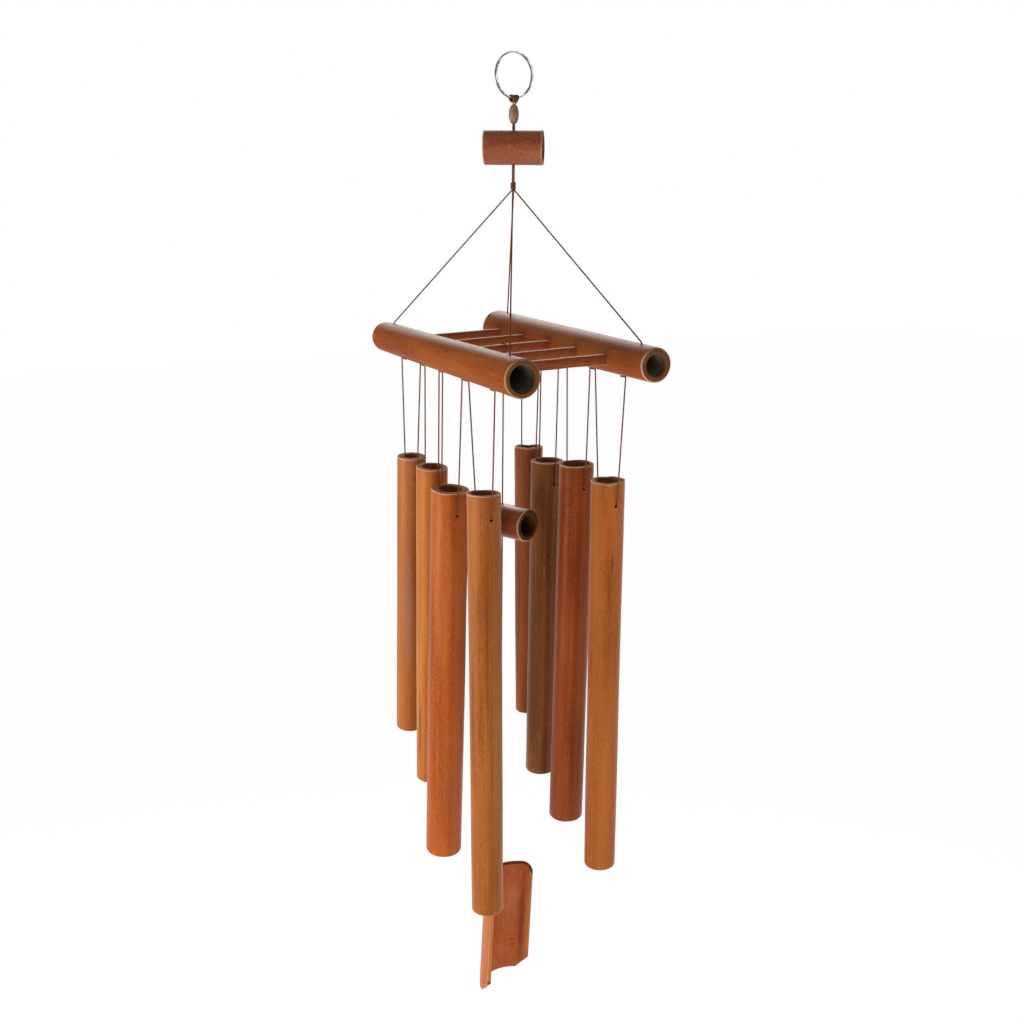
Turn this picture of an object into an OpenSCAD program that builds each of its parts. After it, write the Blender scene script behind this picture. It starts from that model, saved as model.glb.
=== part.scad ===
// Bamboo wind chime in millimetres, +Z up, with its origin at the middle of the hanging ring.
// +X runs along the rails to their near ends, and the left row of tubes hangs on the -Y side.
// Pieces in a row are numbered from the far end to the near end.

/* [Hanging ring] */
// Outside diameter of the split ring
ring_d = 30; // [26:0.5:36]
// Thickness of the ring's wire
ring_wire_d = 1.1; // [0.8:0.1:1.4]
// Gap between the ring's two turns
ring_turn_gap = 0.6; // [0.5:0.1:0.8]
// Turn of the ring's face from +X towards +Y, in degrees
ring_angle = 8; // [-30:1:30]

/* [Cords] */
// Thickness of every cord
cord_d = 1.1; // [0.8:0.1:1.2]
// Clearance between a cord and what it passes
cord_gap = 0.3; // [0.2:0.05:0.4]
// Gap left where a cord flexes
flex_gap = 0.6; // [0.5:0.1:1]
// Thickness of a stopper knot
knot_d = 4; // [3.6:0.1:4.6]
// Length of a stopper knot
knot_length = 4.4; // [3.5:0.1:6]
// Length of the free tail beside each end stitch
tail_length = 7; // [3:0.5:12]

/* [Bead] */
// Thickness of the bead at its middle
bead_d = 6.8; // [5.6:0.1:9]
// Thickness of the bead at its ends
bead_end_d = 4; // [4:0.1:5.4]
// Length of the bead along the cord
bead_length = 11.6; // [8:0.2:13]
// Depth of the bead's middle below the ring's middle
bead_drop = 24.8; // [24:0.1:28]

/* [Toggle tube] */
// Outside diameter of the toggle tube
toggle_d = 23; // [18:0.5:26]
// Length of the toggle tube
toggle_length = 40; // [28:1:60]
// Bore of the toggle tube
toggle_bore_d = 16.6; // [12:0.2:17]
// Depth of the toggle's middle below the ring's middle
toggle_drop = 46; // [45:0.5:52]
// Turn of the toggle's axis from +X towards +Y, in degrees
toggle_angle = 58; // [0:1:90]

/* [Gathering knot] */
// Thickness of the gathering knot
gather_d = 4.6; // [4.2:0.1:6]
// Height of the gathering knot
gather_height = 5; // [4:0.5:9]
// Depth of the gathering knot's middle below the ring's middle
gather_drop = 71; // [68:0.5:90]

/* [Rails] */
// Length of both rails
rail_length = 234; // [226:1:280]
// Distance between the two rails' axes
rail_spacing = 94; // [86:1:120]
// Depth of the frame's middle below the ring's middle
rail_drop = 181; // [150:1:220]
// How much higher the right rail hangs than the left rail
rail_step = 3.2; // [0:0.1:6]
// Place of the frame's middle along Y, off the ring's line for the right rail's greater weight
frame_y = -2.6; // [-5:0.1:5]
// Diameter of the left rail at its near end
left_rail_near_d = 24.6; // [21:0.2:26]
// Diameter of the left rail at its far end
left_rail_far_d = 22.2; // [20.4:0.2:26]
// Bore of the left rail
left_rail_bore_d = 17.8; // [12:0.2:18]
// Diameter of the right rail at its near end
right_rail_near_d = 22.6; // [19.4:0.2:28]
// Diameter of the right rail at its far end
right_rail_far_d = 26.4; // [19.4:0.2:28]
// Bore of the right rail
right_rail_bore_d = 15; // [12:0.2:17]
// Distance of the hanging holes from the ends of the rails
hang_hole_inset = 18.5; // [13:0.5:25]
// Diameter of the hanging holes
hang_hole_d = 2.8; // [2.4:0.1:3.2]
// Diameter of the string holes under the rails
string_hole_d = 2.4; // [2.2:0.1:3]

/* [Slats] */
// Place of the farthest slat along the rails
slat_first_x = -87; // [-90:0.5:-80]
// Distance from one slat to the next
slat_pitch = 39.6; // [36:0.2:42]
// Height of a slat, which stands on edge
slat_height = 6.8; // [5:0.1:8]
// Thickness of a slat
slat_thickness = 3.2; // [2.4:0.1:3.6]
// Height of a slat's upper edge above the rails' axes
slat_top = 2.7; // [1:0.1:5]
// Clearance round a slat in its mortise
slat_fit = 0.1; // [0.05:0.05:0.3]
// How far a slat's end stands inside a rail's bore
slat_seat = 0.8; // [0.4:0.1:1.5]

/* [Tubes] */
// Place of each left tube's upper end along the rails
left_tube_x = [-66.5, -27, 5.7, 61.5]; // [-70:0.1:64]
// Place of each right tube's upper end along the rails
right_tube_x = [-59.7, -28.5, 16.5, 61]; // [-64:0.1:64]
// Depth of each left tube's upper end below its rail's axis
left_tube_drop = [83, 83, 92, 82.5]; // [60:0.5:110]
// Depth of each right tube's upper end below its rail's axis
right_tube_drop = [85.5, 90, 83.5, 86]; // [60:0.5:110]
// Length of each left tube
left_tube_length = [222, 246, 286, 302]; // [180:1:305]
// Length of each right tube
right_tube_length = [217, 254, 280, 292]; // [180:1:305]
// Upper diameter of each left tube
left_tube_top_d = [21.4, 23, 27, 22.8]; // [18:0.1:28]
// Upper diameter of each right tube
right_tube_top_d = [22, 24.4, 25.2, 23.6]; // [18:0.1:28]
// Lower diameter of each left tube
left_tube_bottom_d = [20.6, 22.2, 27, 22.4]; // [18:0.1:28]
// Lower diameter of each right tube
right_tube_bottom_d = [19.4, 23.4, 25.6, 22.8]; // [18:0.1:28]
// Lean of each left tube along the rails, in degrees, with the lower end towards +X
left_tube_lean = [-2.8, -1.5, -3, 1.6]; // [-4:0.1:4]
// Lean of each right tube along the rails, in degrees, with the lower end towards +X
right_tube_lean = [1, -0.8, -1, 0.7]; // [-4:0.1:4]
// Distance of each left tube's string holes from the tube's middle, along the rails
left_string_shift = [1.5, 1.5, 4.3, -4]; // [-5:0.1:5]
// Distance of each right tube's string holes from the tube's middle, along the rails
right_string_shift = [1.2, 1.5, -0.5, -1]; // [-5:0.1:5]
// How far each left tube's strands spread past its sides at the rail
left_string_flare = [7.3, 1.3, 3, 8.6]; // [1.2:0.1:9]
// How far each right tube's strands spread past its sides at the rail
right_string_flare = [3.5, 1.3, 3.9, 8.2]; // [1.2:0.1:9]
// Wall of each left tube
left_tube_wall = [4.6, 3.8, 5, 2.8]; // [2:0.1:5.4]
// Wall of each right tube
right_tube_wall = [3, 2.8, 2.8, 3.3]; // [2:0.1:5.4]
// Diameter of the cross holes in every tube
tube_hole_d = 2.6; // [2.2:0.1:3.2]
// Depth of the cross holes below a tube's upper end
tube_hole_drop = 16; // [8:0.5:24]
// Rounding of every cut bamboo end
end_round = 0.9; // [0.4:0.1:1.2]

/* [Striker] */
// Outside diameter of the striker
striker_d = 23.8; // [18:0.1:24]
// Length of the striker
striker_length = 49; // [36:1:52]
// Bore of the striker
striker_bore_d = 16.4; // [12:0.2:17]
// Depth of the striker's middle below the middle slat's middle
striker_drop = 123.7; // [100:0.1:140]
// Turn of the striker's axis from +X towards +Y, in degrees
striker_angle = 23.5; // [0:0.5:45]

/* [Sail] */
// Outside radius of the sail's curve
sail_radius = 28.7; // [24:0.1:32]
// Wall of the sail
sail_wall = 3.8; // [3:0.1:6]
// Angle that the sail's curve spans, in degrees
sail_span = 146; // [110:1:170]
// Height of the sail
sail_height = 90; // [70:1:110]
// Leg of the sail's cut lower corners
sail_corner = 9; // [4:0.5:14]
// Radius of the sail's rounded upper corners
sail_round = 9; // [4:0.5:14]
// Depth of the sail's upper edge below the middle slat's middle
sail_drop = 403; // [396:1:430]
// Turn of the sail's hollow side from +X towards +Y, in degrees
sail_turn = 28; // [0:1:60]
// Lean of the sail to the left row, in degrees
sail_lean = 4; // [0:0.5:8]
// Diameter of the sail's hole
sail_hole_d = 2.6; // [2.2:0.1:3.2]
// Depth of the sail's hole below its upper edge
sail_hole_drop = 7; // [5:0.5:12]
// Angle from the middle of the sail's curve to its hole, in degrees
sail_hole_side = 13; // [0:1:40]
// Height of the cord's loop above the sail
sail_loop_height = 9; // [6:0.5:14]

/* [Hidden] */
$fn = 48;
LEFT = 0;
RIGHT = 1;
TUBES = 4;
SLATS = 5;
SIDES = ["left", "right"];

// Bamboo and cord colours as the photograph shows them, tubes from far to near
TUBE_COLOURS = [["#b0703c", "#bd8448", "#b46432", "#a8743f"], ["#8a4a28", "#6e5236", "#96502a", "#b0713c"]];
RAIL_COLOUR = "#a9663a";
SLAT_COLOUR = "#8f4c26";
CORD_COLOUR = "#6b4630";

// Counts of sides and steps
CORD_SIDES = 8;
WIRE_SIDES = 6;
RING_STEPS = 24;
BEND_STEPS = 3;
ARC_STEPS = 4;
BARREL_STEPS = 8;

// Split ring: the step from one turn to the other, and the gap that its ends keep
ring_step_angle = 45;
ring_r = (ring_d - ring_wire_d) / 2;
ring_pitch = ring_wire_d + ring_turn_gap;

// Doubled cord
strand_clear = 0.06;
strand_y = cord_d / 2 + strand_clear;
pair_r = cord_d + strand_clear;
pair_hole_d = 2 * (pair_r + cord_gap);
bead_z = -bead_drop;
toggle_z = -toggle_drop;
gather_z = -gather_drop;
gather_top = gather_z + gather_height / 2;
gather_bottom = gather_z - gather_height / 2;
gather_end_d = gather_d - 1;
seat_gap = 0.1;

// Hitch over the ring, as points of its half: out of the ring's face, along the wire, and up from the wire
hitch_out = ring_pitch / 2 + ring_wire_d / 2 + cord_gap + cord_d / 2;
hitch_over = ring_wire_d / 2 + cord_gap + cord_d / 2 + 1.1;
hitch_side = hitch_over - 0.9;
hitch_half = [
    [0, strand_y, gather_top + cord_gap + ring_r],
    [0, strand_y, -4],
    [hitch_out + 0.2, 2.2, -1.4],
    [hitch_out, 2.8, hitch_side],
    [0, 3, hitch_over],
    [-hitch_out, 3, hitch_side],
    [-hitch_out - 0.2, 2.4, -1.2],
    [-hitch_out + 0.2, 1, -2.4]
];

// Stitches and pivots under the rails
stitch_gap = 0.25;
stitch_out = stitch_gap + cord_d / 2;
pivot_drop = stitch_gap + cord_d + flex_gap;

// Frame
rail_reach = norm([rail_spacing, rail_step]);
slat_tilt = atan2(rail_step, rail_spacing);
middle_slat = 2;
hang_hole_x = rail_length / 2 - hang_hole_inset;
hang_rise = cord_d / 2 + cord_gap;

// Striker's line
line_x = slat_first_x + middle_slat * slat_pitch;
slat_mid_z = slat_top - slat_height / 2;
line_top_z = -rail_drop + slat_mid_z;
loop_r = norm([slat_height, slat_thickness]) / 2 + cord_gap + cord_d / 2;
loop_knot_d = 3.4;
loop_knot_height = 3.6;
striker_pivot_z = line_top_z - loop_r - loop_knot_height - flex_gap;
striker_z = line_top_z - striker_drop;
striker_hole_d = cord_d + 2 * cord_gap + 0.7;
sail_pivot_z = striker_z - striker_d / 2 - 2 * flex_gap;
sail_top_z = line_top_z - sail_drop;
sail_hang_z = sail_top_z + sail_loop_height;
sail_mid_r = sail_radius - sail_wall / 2;
// Cuts at a corner of the sail: height, angle above level, and depth from the corner
sail_cuts = concat(
    [for (a = [22.5, 45, 67.5]) [0, a, sail_round * (cos(a) + sin(a) - 1)]],
    [[-sail_height, -45, sail_corner / sqrt(2)]]
);
sail_hole_azimuth = 180 - sail_hole_side;
sail_side = sail_wall / 2 + cord_gap + cord_d / 2;
sail_out = [cos(sail_hole_azimuth), sin(sail_hole_azimuth), 0];
sail_cord_drop = sail_loop_height + sail_hole_drop - sail_hole_d / 2 + cord_d / 2 + seat_gap;

function side_of(row) = row == LEFT ? -1 : 1;
function rail_y(row) = frame_y + side_of(row) * rail_spacing / 2;
function rail_z(row) = -rail_drop + side_of(row) * rail_step / 2;
function rail_far_d(row) = [left_rail_far_d, right_rail_far_d][row];
function rail_near_d(row) = [left_rail_near_d, right_rail_near_d][row];
function rail_bore_d(row) = [left_rail_bore_d, right_rail_bore_d][row];
function rail_r(row, x) =
    (rail_far_d(row) + (rail_near_d(row) - rail_far_d(row)) * (x / rail_length + 0.5)) / 2;

function tube_x(row, i) = [left_tube_x, right_tube_x][row][i];
function tube_drop(row, i) = [left_tube_drop, right_tube_drop][row][i];
function tube_length(row, i) = [left_tube_length, right_tube_length][row][i];
function tube_top_d(row, i) = [left_tube_top_d, right_tube_top_d][row][i];
function tube_bottom_d(row, i) = [left_tube_bottom_d, right_tube_bottom_d][row][i];
function tube_wall(row, i) = [left_tube_wall, right_tube_wall][row][i];
function tube_lean(row, i) = [left_tube_lean, right_tube_lean][row][i];
function tube_top(row, i) = [tube_x(row, i), rail_y(row), rail_z(row) - tube_drop(row, i)];
function tube_r_at(row, i, depth) =
    (tube_top_d(row, i) + (tube_bottom_d(row, i) - tube_top_d(row, i)) * depth / tube_length(row, i)) / 2;

// Far and near string holes of one tube, and the height of the axis that it swings about
function string_x(row, i, end) =
    tube_x(row, i) + [left_string_shift, right_string_shift][row][i]
    + end * (tube_top_d(row, i) / 2 + [left_string_flare, right_string_flare][row][i]);
function string_r(row, i) = max(rail_r(row, string_x(row, i, -1)), rail_r(row, string_x(row, i, 1)));
function pivot_z(row, i) = rail_z(row) - string_r(row, i) - pivot_drop;

function slat_x(i) = slat_first_x + i * slat_pitch;
function unit(v) = v / norm(v);
function turned(p, angle) =
    [p[0] * cos(angle) - p[1] * sin(angle), p[0] * sin(angle) + p[1] * cos(angle), p[2]];
function leaned(p, lean) = [p[0] * cos(lean) - p[2] * sin(lean), p[1], p[0] * sin(lean) + p[2] * cos(lean)];

// Rings along a cord: each is a point and a radius
function thread(points) = [for (p = points) [p, cord_d / 2]];
function knot(middle, along) = [
    for (k = [1:BARREL_STEPS - 1])
        let (s = k / BARREL_STEPS)
        [middle + along * knot_length * (s - 0.5), cord_d / 2 + (knot_d - cord_d) / 2 * sin(180 * s)]
];

// A route with its inner corners rounded, and one corner's points
function corner(a, b, c, radius) =
    let (from = b + unit(a - b) * min(radius, norm(a - b) / 2.2))
    let (to = b + unit(c - b) * min(radius, norm(c - b) / 2.2))
    [for (k = [0:BEND_STEPS]) let (s = k / BEND_STEPS) (1 - s) ^ 2 * from + 2 * s * (1 - s) * b + s ^ 2 * to];
function bent(points, radius) = concat(
    [points[0]],
    [for (i = [1:len(points) - 2]) each corner(points[i - 1], points[i], points[i + 1], radius)],
    [points[len(points) - 1]]
);
function bent_ring(points, radius) =
    let (n = len(points))
    [for (i = [0:n - 1]) each corner(points[(i + n - 1) % n], points[i], points[(i + 1) % n], radius)];

// Directions along a route, and a side direction that turns as little as it can
function heading(points, i, closed) =
    let (n = len(points))
    unit(points[closed ? (i + 1) % n : min(i + 1, n - 1)] - points[closed ? (i + n - 1) % n : max(i - 1, 0)]);
function side_start(h) = unit(cross(h, abs(h[2]) < 0.9 ? [0, 0, 1] : [1, 0, 0]));
function carried(headings, i, side, done) =
    i == len(headings) ? done
    : let (next = unit(side - (side * headings[i]) * headings[i]))
      carried(headings, i + 1, next, concat(done, [next]));

// Profile of a bamboo wall with rounded ends, from its inner lower corner round to its inner upper corner
function arc(centre, radius, from, to) =
    [for (k = [0:ARC_STEPS]) let (a = from + (to - from) * k / ARC_STEPS) centre + radius * [cos(a), sin(a)]];
function wall_profile(lower_r, upper_r, bore_r, length) = concat(
    arc([bore_r + end_round, end_round], end_round, 180, 270),
    arc([lower_r - end_round, end_round], end_round, 270, 360),
    arc([upper_r - end_round, length - end_round], end_round, 0, 90),
    arc([bore_r + end_round, length - end_round], end_round, 90, 180)
);

// Tube swept through rings of points and radii
module cord(rings, closed = false, sides = CORD_SIDES) {
    n = len(rings);
    points = [for (r = rings) r[0]];
    headings = [for (i = [0:n - 1]) heading(points, i, closed)];
    across = carried(headings, 0, side_start(headings[0]), []);
    skin = [
        for (i = [0:n - 1], k = [0:sides - 1])
            let (a = 360 * k / sides)
            points[i] + rings[i][1] * (cos(a) * across[i] + sin(a) * cross(headings[i], across[i]))
    ];
    walls = [
        for (i = [0:n - (closed ? 1 : 2)], k = [0:sides - 1])
            let (a = i * sides, b = (i + 1) % n * sides, m = (k + 1) % sides)
            each [[a + k, b + k, b + m], [a + k, b + m, a + m]]
    ];
    last = (n - 1) * sides;
    caps = [for (k = [1:sides - 2]) each [[0, k, k + 1], [last, last + k + 1, last + k]]];
    polyhedron(skin, closed ? walls : concat(walls, caps));
}

// Bamboo tube that stands on z = 0
module bamboo(lower_d, upper_d, bore_d, length) {
    rotate_extrude()
        polygon(wall_profile(lower_d / 2, upper_d / 2, bore_d / 2, length));
}

// Bulging barrel about the Z axis, centred on its middle, bored if it has a bore
module barrel(middle_d, end_d, height, bore_d = 0) {
    bulge = [
        for (k = [0:BARREL_STEPS])
            let (s = 2 * k / BARREL_STEPS - 1)
            [(end_d + (middle_d - end_d) * (1 - s * s)) / 2, s * height / 2]
    ];
    rotate_extrude()
        polygon(concat([[bore_d / 2, -height / 2]], bulge, [[bore_d / 2, height / 2]]));
}

module hole_across(d, length) {
    rotate([0, 90, 0])
        cylinder(d = d, h = length, center = true);
}

// Two turns of wire that step aside once, like a key ring, with the step at the top
ring_last = RING_STEPS * 2 - RING_STEPS * ring_step_angle / 360;
function ring_shift(angle) =
    angle < 360 - ring_step_angle ? -0.5
    : angle < 360 ? (angle - 360) / ring_step_angle + 0.5
    : 0.5;
function ring_point(k) =
    let (angle = 360 * k / RING_STEPS)
    turned([ring_shift(angle) * ring_pitch, ring_r * sin(angle), ring_r * cos(angle)], ring_angle);
ring_route = [for (k = [0:ring_last]) ring_point(k)];
ring_least_gap = min([
    for (i = [0:ring_last - RING_STEPS / 2], k = [i + RING_STEPS / 2:ring_last])
        norm(ring_route[i] - ring_route[k]) - ring_wire_d
]);
echo(ring_least_gap = ring_least_gap);

module hanging_ring() {
    color("#c9cacc")
        cord([for (p = ring_route) [p, ring_wire_d / 2]], sides = WIRE_SIDES);
}

module hanger_cord() {
    half = [for (p = hitch_half) turned([p[0], p[1], p[2] - ring_r], ring_angle)];
    other = [
        for (k = [len(hitch_half) - 1:-1:0])
            let (p = hitch_half[k])
            turned([p[0], -p[1], p[2] - ring_r], ring_angle)
    ];
    color(CORD_COLOUR)
        cord(thread(bent(concat(half, other), 1.2)));
}

module bead() {
    color("#7d5a45")
        translate([0, 0, bead_z])
            barrel(bead_d, bead_end_d, bead_length, pair_hole_d);
}

module toggle_tube() {
    color("#8a4c2f")
        translate([0, 0, toggle_z])
            difference() {
                rotate([0, 90, toggle_angle])
                    translate([0, 0, -toggle_length / 2])
                        bamboo(toggle_d, toggle_d, toggle_bore_d, toggle_length);
                cylinder(d = pair_hole_d, h = toggle_d + 2, center = true);
            }
}

// Knot that the toggle's upper wall rests on, inside its bore
module toggle_knot() {
    outer_d = knot_d + 1.6;
    top = toggle_z + sqrt((toggle_bore_d / 2) ^ 2 - (outer_d / 2) ^ 2) - cord_gap;
    color(CORD_COLOUR)
        translate([0, 0, top - knot_length / 2])
            barrel(outer_d, outer_d - 1, knot_length, 2 * (pair_r + seat_gap));
}

module gathering_knot() {
    color(CORD_COLOUR)
        translate([0, 0, gather_z])
            barrel(gather_d, gather_end_d, gather_height);
}

// One taut cord from the gathering knot to a rail, with its stopper knot in the bore
module hanging_cord(row, end) {
    x = end * hang_hole_x;
    y = rail_y(row);
    mouth_z = rail_z(row) + rail_r(row, x) + hang_rise;
    knot_z = rail_z(row) + rail_bore_d(row) / 2 - cord_gap - knot_length / 2;
    apart = cord_d / 2 + seat_gap;
    start = [end * apart, side_of(row) * apart, gather_bottom - cord_d / 2];
    route = bent([start, [x, y, mouth_z], [x, y, knot_z + knot_length / 2]], 0.8);
    color(CORD_COLOUR)
        cord(concat(thread(route), knot([x, y, knot_z], [0, 0, -1])));
}

module rail(row) {
    color(RAIL_COLOUR)
        difference() {
            translate([-rail_length / 2, rail_y(row), rail_z(row)])
                rotate([0, 90, 0])
                    bamboo(rail_far_d(row), rail_near_d(row), rail_bore_d(row), rail_length);
            for (end = [-1, 1])
                translate([end * hang_hole_x, rail_y(row), rail_z(row)])
                    cylinder(d = hang_hole_d, h = rail_far_d(row));
            for (i = [0:TUBES - 1], end = [-1, 1])
                translate([string_x(row, i, end), rail_y(row), rail_z(row) - rail_far_d(row)])
                    cylinder(d = string_hole_d, h = rail_far_d(row));
            for (i = [0:SLATS - 1])
                slat_bar(i, slat_fit);
        }
}

// Slat between the two rails' bores, or its mortises when it is grown by a clearance
module slat_bar(i, grow) {
    left_end = -rail_reach / 2 + left_rail_bore_d / 2 - slat_seat;
    right_end = rail_reach / 2 - right_rail_bore_d / 2 + slat_seat;
    translate([slat_x(i), frame_y, -rail_drop])
        rotate([slat_tilt, 0, 0])
            translate([-slat_thickness / 2 - grow, left_end - grow, slat_top - slat_height - grow])
                cube([slat_thickness + 2 * grow, right_end - left_end + 2 * grow, slat_height + 2 * grow]);
}

module slat(i) {
    color(SLAT_COLOUR)
        slat_bar(i, 0);
}

// Stitches under one rail: closed ones between neighbouring tubes, and a knotted one with a tail at each end
module rail_stitches(row) {
    y = rail_y(row);
    bore_z = rail_z(row) - rail_bore_d(row) / 2;
    inner_z = bore_z + stitch_out;
    color(CORD_COLOUR) {
        for (i = [0:TUBES - 2]) {
            from = string_x(row, i, 1);
            to = string_x(row, i + 1, -1);
            outer_z = rail_z(row) - max(rail_r(row, from), rail_r(row, to)) - stitch_out;
            corners = [[from, y, outer_z], [to, y, outer_z], [to, y, inner_z], [from, y, inner_z]];
            cord(thread(bent_ring(corners, 0.6)), true);
        }
        for (end = [-1, 1]) {
            x = string_x(row, end < 0 ? 0 : TUBES - 1, end);
            tail_x = x - end * tail_length;
            outer_z = rail_z(row) - max(rail_r(row, x), rail_r(row, tail_x)) - stitch_out;
            knot_z = bore_z + 2 * stitch_gap + knot_length / 2;
            route = bent([[x, y, knot_z - knot_length / 2], [x, y, outer_z], [tail_x, y, outer_z]], 0.8);
            cord(concat(knot([x, y, knot_z], [0, 0, -1]), thread(route)));
        }
    }
}

// Places children in the frame of one tube: origin at its upper end, leaning along the rails
module at_tube(row, i) {
    translate(tube_top(row, i))
        rotate([0, -tube_lean(row, i), 0])
            children();
}

module tube(row, i) {
    bore_d = min(tube_top_d(row, i), tube_bottom_d(row, i)) - 2 * tube_wall(row, i);
    color(TUBE_COLOURS[row][i])
        at_tube(row, i)
            difference() {
                translate([0, 0, -tube_length(row, i)])
                    bamboo(tube_bottom_d(row, i), tube_top_d(row, i), bore_d, tube_length(row, i));
                translate([0, 0, -tube_hole_drop])
                    hole_across(tube_hole_d, tube_top_d(row, i) + 2);
            }
}

// Cord of one tube: down from the rail, through both cross holes and up again
module tube_cord(row, i) {
    y = rail_y(row);
    z = pivot_z(row, i);
    side = tube_r_at(row, i, tube_hole_drop) + cord_gap + cord_d / 2;
    lift = tube_hole_d / 2 - cord_d / 2 - seat_gap;
    far_mouth = tube_top(row, i) + leaned([-side, 0, lift - tube_hole_drop], tube_lean(row, i));
    near_mouth = tube_top(row, i) + leaned([side, 0, lift - tube_hole_drop], tube_lean(row, i));
    far_top = [string_x(row, i, -1), y, z];
    near_top = [string_x(row, i, 1), y, z];
    color(CORD_COLOUR)
        cord(thread(bent([far_top, far_mouth, near_mouth, near_top], 0.8)));
}

// Loop round the middle slat, with the knot that closes it
module striker_loop() {
    color(CORD_COLOUR)
        translate([line_x, frame_y, line_top_z]) {
            rotate([90 + slat_tilt, 0, 0])
                rotate_extrude()
                    translate([loop_r, 0])
                        circle(d = cord_d);
            translate([0, 0, -loop_r - loop_knot_height / 2])
                barrel(loop_knot_d, loop_knot_d - 1, loop_knot_height);
        }
}

// Cord from the loop down through the striker, with the knot inside it that the striker hangs on
module striker_cord() {
    knot_z = striker_z + sqrt((striker_bore_d / 2) ^ 2 - (knot_d / 2) ^ 2) - cord_gap - knot_length / 2;
    color(CORD_COLOUR)
        cord(concat(
            thread([[line_x, frame_y, striker_pivot_z]]),
            knot([line_x, frame_y, knot_z], [0, 0, -1]),
            thread([[line_x, frame_y, sail_pivot_z + flex_gap]])
        ));
}

module striker() {
    color("#7c4326")
        translate([line_x, frame_y, striker_z])
            difference() {
                rotate([0, 90, striker_angle])
                    translate([0, 0, -striker_length / 2])
                        bamboo(striker_d, striker_d, striker_bore_d, striker_length);
                cylinder(d = striker_hole_d, h = striker_d + 2, center = true);
            }
}

module sail_cord() {
    knot_z = sail_hang_z + knot_length / 2;
    color(CORD_COLOUR)
        cord(concat(thread([[line_x, frame_y, sail_pivot_z]]), knot([line_x, frame_y, knot_z], [0, 0, -1])));
}

// Places children in the sail's frame: origin under the cord's end, +X out of its hollow side
module at_sail() {
    translate([line_x, frame_y, sail_hang_z])
        rotate([0, 0, sail_turn])
            rotate([-sail_lean, 0, 0])
                children();
}

module sail() {
    block = 4 * max(sail_corner, sail_round);
    color("#b5703a")
        at_sail()
            translate(-sail_mid_r * sail_out - [0, 0, sail_loop_height])
                difference() {
                    rotate([0, 0, 180 - sail_span / 2])
                        rotate_extrude(angle = sail_span)
                            translate([sail_radius - sail_wall, -sail_height])
                                square([sail_wall, sail_height]);
                    for (side = [-1, 1], cut = sail_cuts)
                        rotate([0, 0, 180 + side * sail_span / 2])
                            translate([sail_mid_r, 0, cut[0]])
                                rotate([side > 0 ? cut[1] : 180 - cut[1], 0, 0])
                                    translate([0, block / 2 - cut[2], 0])
                                        cube([3 * sail_wall, block, block], center = true);
                    rotate([0, 0, sail_hole_azimuth])
                        translate([sail_mid_r, 0, -sail_hole_drop])
                            hole_across(sail_hole_d, 3 * sail_wall);
                }
}

// Loop from under the cord's knot, down both sides of the sail's wall and through its hole
module sail_loop() {
    start = sail_out * (cord_d / 2 + seat_gap) - [0, 0, flex_gap];
    shoulder = sail_out * sail_side - [0, 0, sail_loop_height - 1];
    mouth = sail_out * sail_side - [0, 0, sail_cord_drop];
    back = [-1, -1, 1];
    half = [start, shoulder, mouth];
    other = [for (k = [2:-1:0]) [for (c = [0:2]) half[k][c] * back[c]]];
    color(CORD_COLOUR)
        at_sail()
            cord(thread(bent(concat(half, other), 0.8)));
}

hanging_ring();
hanger_cord();
bead();
toggle_tube();
toggle_knot();
gathering_knot();
hanging_cord(LEFT, -1);  // left_far_cord
hanging_cord(LEFT, 1);  // left_near_cord
hanging_cord(RIGHT, -1);  // right_far_cord
hanging_cord(RIGHT, 1);  // right_near_cord
rail(LEFT);  // left_rail
rail(RIGHT);  // right_rail
rail_stitches(LEFT);  // left_rail_stitches
rail_stitches(RIGHT);  // right_rail_stitches
for (i = [0:SLATS - 1])
    slat(i);
for (row = [LEFT, RIGHT], i = [0:TUBES - 1]) {
    tube(row, i);
    tube_cord(row, i);
}
striker_loop();
striker_cord();
striker();
sail_cord();
sail();
sail_loop();
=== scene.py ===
"""Bamboo wind chime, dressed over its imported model: stained bamboo, waxed cord, a split ring and a studio."""

import logging
import math
from dataclasses import dataclass, field
from enum import Enum, IntEnum
from typing import Callable, ClassVar, Optional, Sequence, Union

import bmesh
import bpy
from mathutils import Matrix, Vector, noise


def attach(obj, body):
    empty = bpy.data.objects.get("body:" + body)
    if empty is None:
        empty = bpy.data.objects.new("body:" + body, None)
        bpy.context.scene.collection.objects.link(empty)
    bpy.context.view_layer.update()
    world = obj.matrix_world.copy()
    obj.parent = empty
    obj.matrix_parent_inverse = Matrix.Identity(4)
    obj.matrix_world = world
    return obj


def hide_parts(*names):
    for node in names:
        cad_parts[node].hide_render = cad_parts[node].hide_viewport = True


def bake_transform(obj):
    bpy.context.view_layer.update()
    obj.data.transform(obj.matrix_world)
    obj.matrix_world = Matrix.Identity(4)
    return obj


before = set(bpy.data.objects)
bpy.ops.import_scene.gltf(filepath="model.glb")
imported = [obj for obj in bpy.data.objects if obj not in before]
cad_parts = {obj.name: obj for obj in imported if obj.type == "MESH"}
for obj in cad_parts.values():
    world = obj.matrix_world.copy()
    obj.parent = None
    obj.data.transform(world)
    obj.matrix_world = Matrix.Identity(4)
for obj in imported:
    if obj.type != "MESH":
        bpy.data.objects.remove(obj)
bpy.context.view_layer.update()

LOG = logging.getLogger("wind_chime")
MM = 0.001

# What several pieces share, in millimetres and degrees: the striker's plumb line in the frame's middle plane, the
# middle slat, the knot where the doubled cord parts into four, with the cords' distance from its middle, and the cord
PLUMB_X, PLUMB_Y = -7.8, -2.6
SLAT_MIDDLE_Z, SLAT_TILT = -181.7, 1.94974
GATHER_TOP, GATHER_BOTTOM, PARTING = -68.5, -73.5, 0.6
CORD_D = 1.1


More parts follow.
